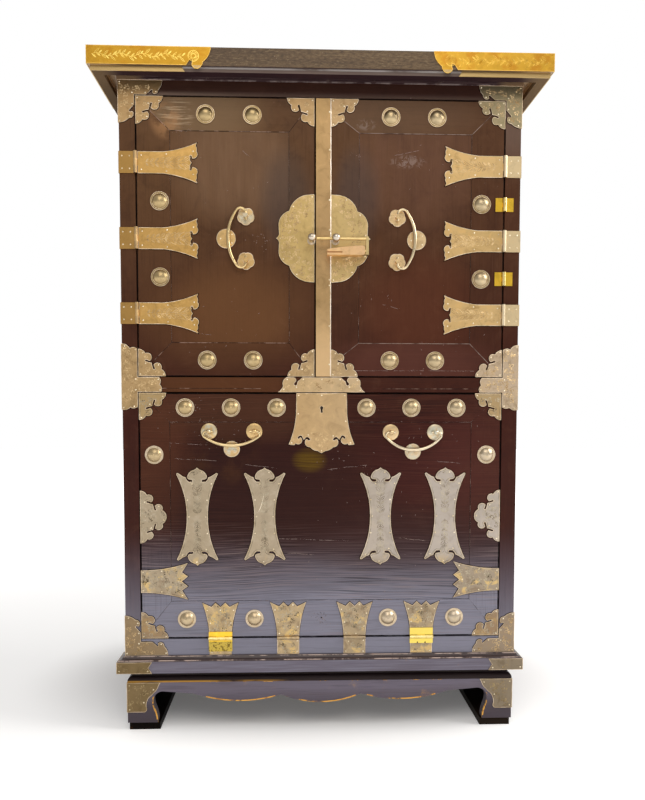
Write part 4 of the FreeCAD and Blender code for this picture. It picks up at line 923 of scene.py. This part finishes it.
brass("drop_front_brass", (0.42, 0.335, 0.23), "drop_front_plates", rough=0.4, age=0.5,
      worked=golden_patches, reflection_most=0.36)
brass("keyhole_brass", (0.54, 0.355, 0.165), "keyhole_plate", age=0.6)
brass("crown_strap_brass", (0.53, 0.39, 0.22), "drop_front_hinge_straps", "rail_hinge_leaves",
      worked=golden_patches, reflection_most=0.36)
hourglass_level = 0.359
chase("drop_front_plates", 10 * mm, (3.4 * mm, 24 * mm), 2.4 * mm,
      lambda x, z: not 0.29 < z < 0.43 or abs(x) > 0.245, finish=chased_pale)
lines = []
for middle_x in (-0.205, -0.094, 0.098, 0.206):
    for hand in (-1, 1):
        lines.append([(middle_x + 0.8 * mm * math.sin(step), hourglass_level + hand * (4 + 4.4 * step) * mm)
                      for step in range(13)])
        for index in range(8):
            at_z = hourglass_level + hand * (6 + 7 * index) * mm
            for lean in (-0.75, 0.75):
                lines += leaf(middle_x + (0.6 if lean < 0 else -0.6) * mm, at_z, hand * math.pi / 2 + lean,
                              (8 + 0.9 * abs(index - 2)) * mm, 0.17, index % 2 == 0)
strokes("hourglass_sprays", lines, "drop_front", chased_pale, width=0.75 * mm)
chase("keyhole_plate", 8.5 * mm, (3.6 * mm, 30 * mm), 2.4 * mm, lambda x, z: z < 0.5)
chase("drop_front_hinge_straps", 10 * mm, (3.6 * mm, 16 * mm), finish=chased_pale)
chase("rail_hinge_leaves", 10 * mm, (3.6 * mm, 12 * mm), smallest=3, finish=chased_pale)

# The foot mounts and base straps: plainer, darker sheet brass that has taken knocks. They are nailed
# round their edges and chased with a few large scrolls.

foot_mounts = ("foot_plates", "base_corner_plates")
brass("foot_brass", (0.21, 0.145, 0.07), *foot_mounts, age=1.1)
foot_line_finish = stroke_finish("foot_line_brass", (0.42, 0.32, 0.17), (0.2, 0.14, 0.07))
for node in foot_mounts:
    chase(node, 12 * mm, (4.5 * mm, 26 * mm), level=front_of(node), smallest=3, finish=foot_line_finish)

# The gilded mounts: the long plates on the corners of the top, chased with a leafy vine that ends in a
# flower, with a paler strip on the lip below; and the small repair hinges, plain and bright.


def vine_ground(metal):
    rust = metal.mottle(34.0, 4.0, 0.65).share(0.47, 0.62)
    return [(rust * 0.6, (0.5, 0.2, 0.02)), (metal.x.share(0.0, -0.1) * 0.45, (0.4, 0.2, 0.015)),
            (metal.z.share(1.0679, 1.0672), (0.48, 0.34, 0.15))]


brass("gilt_brass", (0.62, 0.355, 0.045), "top_corner_plates", rough=0.4, age=0.6, worked=vine_ground,
      reflection_to_right=0.0)
gilt_level = front_of("top_corner_plates") - 0.01 * mm
gilt_rise = 0.03 * mm
vine_level = 1.0815
vine_start = 0.357
vine_run = -0.141
vine_steps = 40
flower_x = 0.2005


def on_vine(side, step):
    """A place on the vine, which waves from the chest's corner to the flower."""
    return side * (vine_start + vine_run * step / vine_steps), vine_level + 2.4 * mm * math.sin(step * 0.63)


vine_finishes = {-1: stroke_finish("bright_vine_brass", (1.0, 0.78, 0.2), (0.7, 0.42, 0.06), 0.34),
                 1: stroke_finish("deep_vine_brass", (0.9, 0.6, 0.12), (0.36, 0.17, 0.015), 0.38)}
for side, vine_finish in vine_finishes.items():
    vine = [[on_vine(side, step) for step in range(vine_steps + 1)]]
    for index in range(vine_steps):
        hand = 1 if index % 2 else -1
        way = (math.pi if side > 0 else 0) - side * hand * 0.75
        length = (8.5 + 2.5 * math.sin(index * 1.7)) * mm
        vine += leaf(*on_vine(side, index + 0.4), way, length, 0.1, index % 3 == 0)
    flower = (side * flower_x, vine_level)
    rings = [[off(*flower, reach * mm, turn * math.pi / 10) for turn in range(20)] for reach in (8.2, 3.4)]
    for petal in range(8):
        way = petal * math.pi / 4
        vine += leaf(*off(*flower, 3.6 * mm, way), way, 4.4 * mm, 0.3, False)
    name = "left_top_plate" if side < 0 else "right_top_plate"
    strokes(name + "_vine", vine, "case", vine_finish, gilt_level, 0.75 * mm, gilt_rise)
    strokes(name + "_flower", rings, "case", vine_finish, gilt_level, 0.9 * mm, gilt_rise, closed=True)
rubbed_edge("top_plate_edge", "top_corner_plates", None, 0.8 * mm, 0.02 * mm,
            stroke_finish("gilt_edge_brass", (0.9, 0.6, 0.16), (0.7, 0.42, 0.08), 0.34))


def worn_leaf(metal):
    """The left one of the leaves below the drop front is worn olive and pitted dark; the barrels shine."""
    pits = metal.mottle(210.0, 3.0, 0.6).share(0.5, 0.6)
    olive = metal.blend(pits, (0.54, 0.39, 0.075), (0.19, 0.13, 0.03))
    shine = metal.y.share(-0.1722, -0.1732) * metal.mottle(1.0, 3.0, 0.6, metal.stretched(160.0, 1.0, 160.0))
    return [(metal.z.share(0.1505, 0.1497) * metal.x.share(0.05, -0.05), olive),
            (metal.z.share(0.2, 0.19) * metal.x.share(-0.05, 0.05) * 0.8, (0.85, 0.68, 0.16)),
            (shine * 1.3, (1.0, 0.9, 0.5))]


repair_nodes = ("right_door_repair_leaves", "frame_repair_leaves", "drop_front_repair_leaves")
brass("gilt_repair_brass", (1.0, 0.62, 0.06), *repair_nodes, rough=0.3, age=0.9, worked=worn_leaf,
      reflection_to_right=0.0)
repair_finish = stroke_finish("gilt_edge_line_brass", (1.0, 0.78, 0.3), (0.5, 0.3, 0.05), 0.3)
for node in repair_nodes:
    rubbed_edge(node + "_edge", node, None, 0.9 * mm, 0.04 * mm, repair_finish)

screw_leaf = [vertex.co for vertex in chest["frame_repair_leaves"].data.vertices
              if vertex.co.z < 0.16 and vertex.co.x > 0]
screw_middle = (min(point.x for point in screw_leaf) + max(point.x for point in screw_leaf)) / 2
nails("repair_hinge_screws", [(screw_middle + across * mm, 0.1455) for across in (-6.5, 6.5)], "case",
      max(-point.y for point in screw_leaf if point.z < 0.148), 1.3 * mm, 0.3 * mm,
      stroke_finish("dark_screw_brass", (0.12, 0.08, 0.03), (0.05, 0.03, 0.01), 0.5))

# The bosses: turned brass, a flat rim round a low dome, the rim darker than the dome and the dome polished
# by hands.
# They are set on the doors and the drop front only; the lower ones are painted paler, rims most, as a
# reflection of the white floor.


def dark_rim(metal):
    rim_tone = metal.blend(metal.z.share(0.62, 0.45), (0.34, 0.24, 0.1), (0.56, 0.46, 0.32))
    return [(metal.y.share(-sheet_level - 1.6 * mm, -sheet_level - 0.1 * mm), rim_tone)]


boss_nodes = ("left_door_bosses", "right_door_bosses", "drop_front_bosses")
brass("boss_brass", (0.48, 0.355, 0.18), *boss_nodes, low=(0.6, 0.47, 0.3), rough=0.38, age=0.7,
      worked=dark_rim, reflection_to_right=0.4)
for node in boss_nodes:
    rubbed_edge(node + "_edge", node, sheet_level, 0.75 * mm, 0.04 * mm)

# The bails: bent rods whose ends turn in posts on plum-flower rosettes, over small strike discs. Some
# rosettes have a silver-green bloom. The lock's posts and the padlock hang between the doors.


def bloomed(metal):
    places = ((-0.123, 0.8475), (-0.185, 0.5), (-0.148, 0.471), (0.1515, 0.4665), (0.188, 0.4985))
    film = metal.mottle(90.0, 3.0).share(0.36, 0.6) * 0.75
    return [(metal.patch(x, z, 0.017, 0.017) * film, (0.62, 0.66, 0.58)) for x, z in places]


brass("bail_brass", (0.72, 0.54, 0.27), "left_bail", "right_bail", "lower_left_bail", "lower_right_bail",
      low=(0.74, 0.6, 0.38), rough=0.27, age=0.6)
brass("rosette_brass", (0.68, 0.45, 0.19), "left_bail_mounts", "right_bail_mounts", "drop_front_bail_mounts",
      low=(0.66, 0.5, 0.28), rough=0.38, age=0.9, worked=bloomed)
rosette_level = wood_level + 2.2 * mm
for side, name in ((-1, "left"), (1, "right")):
    for part, level in (("_rosette", rosette_level), ("_strike", sheet_level)):
        rubbed_edge(name + part + "_edge", name + "_bail_mounts", level, 0.8 * mm)
rubbed_edge("drop_front_rosette_edge", "drop_front_bail_mounts", sheet_level, 0.8 * mm)
rosette_x, strike_x, bail_z = 0.123, 0.155, 0.812
post_step = 35.5 * mm
for side, name in ((-1, "left"), (1, "right")):
    petals = []
    for z in (bail_z + post_step, bail_z - post_step):
        for petal in range(5):
            way = math.pi / 2 + petal * 2 * math.pi / 5
            petals += leaf(*off(side * rosette_x, z, 4.6 * mm, way), way, 6.4 * mm, 0.32)
    strokes(name + "_rosette_petals", petals, name + "_door", chased_finish, rosette_level, 0.6 * mm,
            0.15 * mm)
for side, name in ((-1, "left"), (1, "right")):
    studs = [(side * strike_x + across * mm, bail_z + up * mm) for across, up in ((-9, 0), (9, 7), (9, -7))]
    nails(name + "_strike_studs", studs, name + "_door", radius=1.2 * mm, rise=0.5 * mm)

brass("post_brass", (0.62, 0.52, 0.38), "left_lock_post", "right_lock_post", rough=0.3, age=0.8)
brass("padlock_bar_brass", (0.7, 0.5, 0.2), "padlock_bar", rough=0.32, age=0.6)
brass("padlock_brass", (0.92, 0.56, 0.25), "padlock_body", rough=0.32, age=0.6)

# Iron: the lock's case and bolt, and the hinge pins, dull and dark with a little rust. The case and
# bolt are forged and filed, and show only with the drop front open.

iron = Finish("old_iron")
cloud = iron.mottle(90.0, 4.0, 0.6)
tone = iron.blend(cloud.share(0.4, 0.7), (0.16, 0.14, 0.12), (0.2, 0.09, 0.045))
dress(iron.lay(base_color=tone, metallic=0.9, roughness=0.45 + 0.3 * cloud,
               normal=iron.relief(cloud, 0.0003)), "lock_case", "lock_bolt", "hinge_pins")

# The joints of the frames: the panels' edges and the mitres show as fine lines where the lacquer has
# cracked over them, dark with pale flecks. Scratches and knocks show the wood under the lacquer.
# Dark lines along the gaps and round the edges of the plates are painted shadow.


def cracked_line(name, scale, low, high, dark, pale, faint=False):
    line = Finish(name)
    flecks = line.mottle(scale, 4.0, 0.6).share(low, high)
    more = {"specular_ior_level": 0.1}
    if faint:
        more = {"alpha": line.mottle(40.0, 3.0, 0.6).share(0.35, 0.6) * 0.6}
    return line.lay(base_color=line.blend(flecks, dark, pale), roughness=0.5, **more)


crack_dark = (0.012, 0.006, 0.005)
cracked_finish = cracked_line("cracked_lacquer_line", 75.0, 0.46, 0.62, crack_dark, (0.4, 0.26, 0.2))
pale_finish = cracked_line("pale_lacquer_line", 60.0, 0.38, 0.6, (0.09, 0.055, 0.045), (0.36, 0.27, 0.23))
faint_finish = cracked_line("faint_lacquer_line", 75.0, 0.46, 0.62, crack_dark, (0.3, 0.19, 0.15), True)
scratch = Finish("scratched_lacquer")
cloud = scratch.mottle(110.0, 3.0, 0.6)
tone = scratch.blend(cloud, (0.3, 0.18, 0.15), (0.6, 0.46, 0.42))
scratch_finish = scratch.lay(base_color=tone, roughness=0.6, alpha=cloud.share(0.36, 0.56) * 0.6)
# Painted shadow: near-black, patchy lines for the shade in the gaps and under the plates' edges.
gap = Finish("painted_gap_shadow")
painted_shadow_finish = gap.lay(base_color=(0.004, 0.002, 0.002), roughness=0.7, specular_ior_level=0.05,
                     alpha=0.55 + 0.45 * gap.mottle(45.0, 3.0, 0.6).share(0.35, 0.6))


def flat_lines(name, lines, width, finish, body):
    """Thin flat lines lying on the wood's face."""
    points = []
    faces = []
    level = -wood_level - 0.05 * mm
    for (ax, az), (bx, bz) in lines:
        run = math.hypot(bx - ax, bz - az) or 1.0
        side_x, side_z = -(bz - az) / run * width / 2, (bx - ax) / run * width / 2
        first = len(points)
        points += [(ax - side_x, level, az - side_z), (bx - side_x, level, bz - side_z),
                   (bx + side_x, level, bz + side_z), (ax + side_x, level, az + side_z)]
        faces.append((first, first + 1, first + 2, first + 3))
    mesh_piece(name, points, faces, finish, body)


for body, outer, inner, level_finish in (
        ("left_door", left_door_frame, left_door_opening, cracked_finish),
        ("right_door", right_door_frame, right_door_opening, pale_finish),
        ("drop_front", drop_frame, drop_opening, faint_finish)):
    x0, x1, z0, z1 = [value * mm for value in outer]
    u0, u1, w0, w1 = [value * mm for value in inner]
    joint_sets = {"above": [[(x0, z1), (u0, w1)], [(x1, z1), (u1, w1)], [(u1, w1), (u0, w1)]],
                  "below": [[(x0, z0), (u0, w0)], [(x1, z0), (u1, w0)], [(u0, w0), (u1, w0)]],
                  "upright": [[(u1, w0), (u1, w1)], [(u0, w1), (u0, w0)]]}
    for part, joints in joint_sets.items():
        finish = faint_finish if part == "upright" else level_finish
        flat_lines(body + "_joints_" + part, joints, 0.8 * mm, finish, body)

# Painted shadow along the gaps at the edges of the doors and the drop front.
for body, x0, x1, low, foot, high, sides, width in (
        ("drop_front", -0.298, 0.298, 0.157, 0.157, 0.562, (-0.2978, 0.2978), 1.9 * mm),
        ("left_door", -0.298, -0.0125, 0.5907, 0.5905, 1.0354, (-0.2978,), 1.4 * mm),
        ("right_door", -0.009, 0.298, 0.5907, 0.5905, 1.0354, (0.2978,), 1.4 * mm)):
    lines = [((x0, level), (x1, level)) for level in (low, high)]
    lines += [((side, foot), (side, high)) for side in sides]
    flat_lines(body + "_painted_shadow", lines, width, painted_shadow_finish, body)
# Painted shadow: a narrow dark band on the wood round the edges of the plates.
painted_shadow_fields = {
    "frame_corner_plates": (0.3225, 0.1315, 1.057), "rail_cloud_plate": (0.2965, 0.5665, 0.5865),
    "left_door": (0.2965, 0.5925, 1.0335), "right_door": (0.2965, 0.5925, 1.0335),
    "drop_front": (0.2965, 0.1585, 0.5605)}
for node in (*door_clouds, *strap_nodes, *lock_plates, "frame_corner_plates", "rail_cloud_plate",
             "drop_front_plates", "keyhole_plate", "drop_front_hinge_straps"):
    wide, low, high = painted_shadow_fields.get(node) or painted_shadow_fields[rides_on[node]]
    rims = [[Vector((point.x, -wood_level - 0.02 * mm, point.z)) for point in loop]
            for loop in outlines(node, sheet_level)]
    edge_band(node + "_painted_shadow", rims, 0.9 * mm, 0.0, 0.02 * mm, painted_shadow_finish, rides_on[node],
              lambda point: abs(point.x) < wide and low < point.z < high)
# A nail hole left by a lost boss, painted black as the shade inside it.
flat_lines("nail_hole", [((-0.0012, 0.1885), (0.0012, 0.1885))], 2.4 * mm, painted_shadow_finish, "drop_front")

curved_scratch = ((-0.0955, 0.397), (-0.0965, 0.39), (-0.0992, 0.379), (-0.1018, 0.372), (-0.104, 0.3675),
                  (-0.1085, 0.3605), (-0.1126, 0.357), (-0.1176, 0.355))
scratched_brass = stroke_finish("scratched_brass", (0.95, 0.85, 0.68), (0.7, 0.6, 0.45))
strokes("curved_scratch_on_brass", [curved_scratch[:5]], "drop_front", scratched_brass, width=0.9 * mm,
        rise=0.04 * mm)
strokes("curved_scratch_on_wood", [curved_scratch[5:]], "drop_front", scratch_finish, wood_level, 0.7 * mm,
        0.02 * mm)


def knocks(body, long_ones, fields):
    """Long scratches from place to place, and fields of short knocks (x, z, reach, count)."""
    lines = []
    steps = 7
    for (ax, az), (bx, bz) in long_ones:
        path = [(ax + (bx - ax) * step / steps, az + (bz - az) * step / steps + luck.uniform(-0.5, 0.5) * mm)
                for step in range(steps + 1)]
        lines += list(zip(path, path[1:]))
    for x, z, reach, count in fields:
        for _ in range(count):
            at_x = x + luck.gauss(0, reach)
            at_z = z + luck.gauss(0, reach * 0.7)
            way = luck.uniform(0, math.pi)
            length = luck.uniform(0.8, 3.0) * mm
            lines.append(((at_x, at_z), off(at_x, at_z, length, way)))
    flat_lines(body + "_knocks", lines, 0.6 * mm, scratch_finish, body)


knocks("left_door",
       [((-0.232, 0.918), (-0.2, 0.921)), ((-0.128, 0.952), (-0.118, 0.944)),
        ((-0.205, 0.66), (-0.18, 0.657))],
       [(-0.096, 0.811, 0.009, 26), (-0.16, 0.9, 0.05, 14), (-0.15, 0.66, 0.05, 16),
        (-0.22, 0.985, 0.012, 14)])
knocks("right_door",
       [((0.215, 0.955), (0.232, 0.948)), ((0.1, 0.708), (0.13, 0.7)), ((0.115, 0.947), (0.158, 0.956)),
        ((0.0605, 0.982), (0.0605, 0.962)), ((0.2444, 0.982), (0.2444, 0.96)), ((0.0, 0.6), (0.29, 0.6))],
       [(0.2, 0.64, 0.03, 16), (0.1, 0.72, 0.04, 14), (0.17, 0.95, 0.05, 14), (0.137, 0.938, 0.009, 20),
        (0.2965, 0.96, 0.004, 7), (0.055, 0.945, 0.006, 8)])
knocks("drop_front",
       [((-0.241, 0.4555), (-0.173, 0.4515)), ((-0.248, 0.481), (-0.188, 0.4775)),
        ((-0.128, 0.4455), (-0.075, 0.4395)), ((0.01, 0.437), (0.075, 0.444)),
        ((0.13, 0.322), (0.188, 0.316)), ((-0.07, 0.322), (0.045, 0.318)), ((0.19, 0.45), (0.236, 0.447)),
        ((-0.06, 0.298), (-0.012, 0.295))],
       [(-0.2, 0.52, 0.03, 30), (-0.17, 0.49, 0.03, 26), (0.04, 0.44, 0.03, 20), (0.2, 0.5, 0.03, 20),
        (0.0, 0.1885, 0.008, 16), (0.09, 0.4, 0.05, 20), (0.0, 0.25, 0.12, 30)])
nail_place = (0.0, 0.1885)
ghost_lines = [(off(*nail_place, 6.5 * mm, turn), off(*nail_place, 10 * mm, turn + 0.2))
               for turn in (0.3, 0.9, 1.6, 2.2, 2.9, 3.6, 4.3, 4.8, 5.5)]
flat_lines("boss_ghost", ghost_lines, 0.7 * mm, faint_finish, "drop_front")
flat_lines("rail_marks", [((-0.29, 0.5705), (-0.1, 0.5702)), ((0.1, 0.5702), (0.29, 0.5705))], 0.6 * mm,
           cracked_finish, "case")

# The floor: a plain white studio floor, whitened to the eye and to polished metal by a glow that is weak
# beside and under the chest and strong far off, so that the shadow near the chest stays. The lamps are a
# wide soft one to the right, which lays the shadow to the left, and a warm one high in front.

floor = Finish("studio_floor")
seen = floor.ray("Camera").most(floor.ray("Glossy")).most(floor.ray("Transmission"))
away = (floor.x * floor.x + floor.y * floor.y).share(0.6, 6.0)
ahead = 0.1 - floor.y
beside = (floor.x * floor.x + ahead * ahead * 2.2).share(0.1, 0.36)
lift = seen * (0.1 + 0.28 * beside + 0.7 * away)
tone = floor.blend(floor.mottle(3.0, 2.0), (0.86, 0.86, 0.86), (0.88, 0.88, 0.88))
floor_finish = floor.lay(base_color=tone, roughness=0.8, specular_ior_level=0.0, emission_strength=1.0,
                         emission_color=floor.node("ShaderNodeCombineXYZ", {}, [lift, lift, lift]))
reach = 9.0
floor_mesh = bpy.data.meshes.new("floor")
floor_mesh.from_pydata([(-reach, -reach, 0), (reach, -reach, 0), (reach, reach, 0), (-reach, reach, 0)], [],
                       [(0, 1, 2, 3)])
floor_mesh.materials.append(floor_finish)
floor_piece = bpy.data.objects.new("floor", floor_mesh)
bpy.context.scene.collection.objects.link(floor_piece)


def lamp(name, place, target, width, power, colour):
    light = bpy.data.lights.new(name, "AREA")
    light.shape = "RECTANGLE"
    light.size = light.size_y = width
    light.energy = power
    light.color = colour
    holder = bpy.data.objects.new(name, light)
    holder.location = place
    holder.rotation_euler = (Vector(target) - Vector(place)).to_track_quat("-Z", "Y").to_euler()
    bpy.context.scene.collection.objects.link(holder)


lamp("soft_right", (3.0, -0.6, 2.4), (0.0, 0.0, 0.55), 1.7, 84.0, (1.0, 0.98, 0.95))
lamp("soft_front", (0.0, -2.6, 3.0), (0.0, 0.0, 0.7), 2.0, 34.0, (1.0, 0.95, 0.88))

# The backdrop: polished metal and the eye see it white behind the chest; the room in front of it is
# dimmer, and lights the chest from all sides.

world = bpy.data.worlds.new("studio")
bpy.context.scene.world = world
world.use_nodes = True
world.node_tree.nodes.clear()
studio = Nodes(world.node_tree)
looking = studio.node("ShaderNodeTexCoord", out="Generated")
behind = studio.node("ShaderNodeSeparateXYZ", {}, [looking], 1) > -0.1
shown = (studio.ray("Glossy").most(studio.ray("Transmission")) * behind).most(studio.ray("Camera"))
room = studio.node("ShaderNodeBackground", {}, {"Color": (1.0, 0.99, 0.98), "Strength": 0.46})
backdrop = studio.node("ShaderNodeBackground", {}, {"Color": (1.0, 1.0, 1.0), "Strength": 1.0})
studio.node("ShaderNodeOutputWorld", {}, [studio.node("ShaderNodeMixShader", {}, [shown, room, backdrop])])

bpy.context.scene.view_settings.view_transform = "Standard"
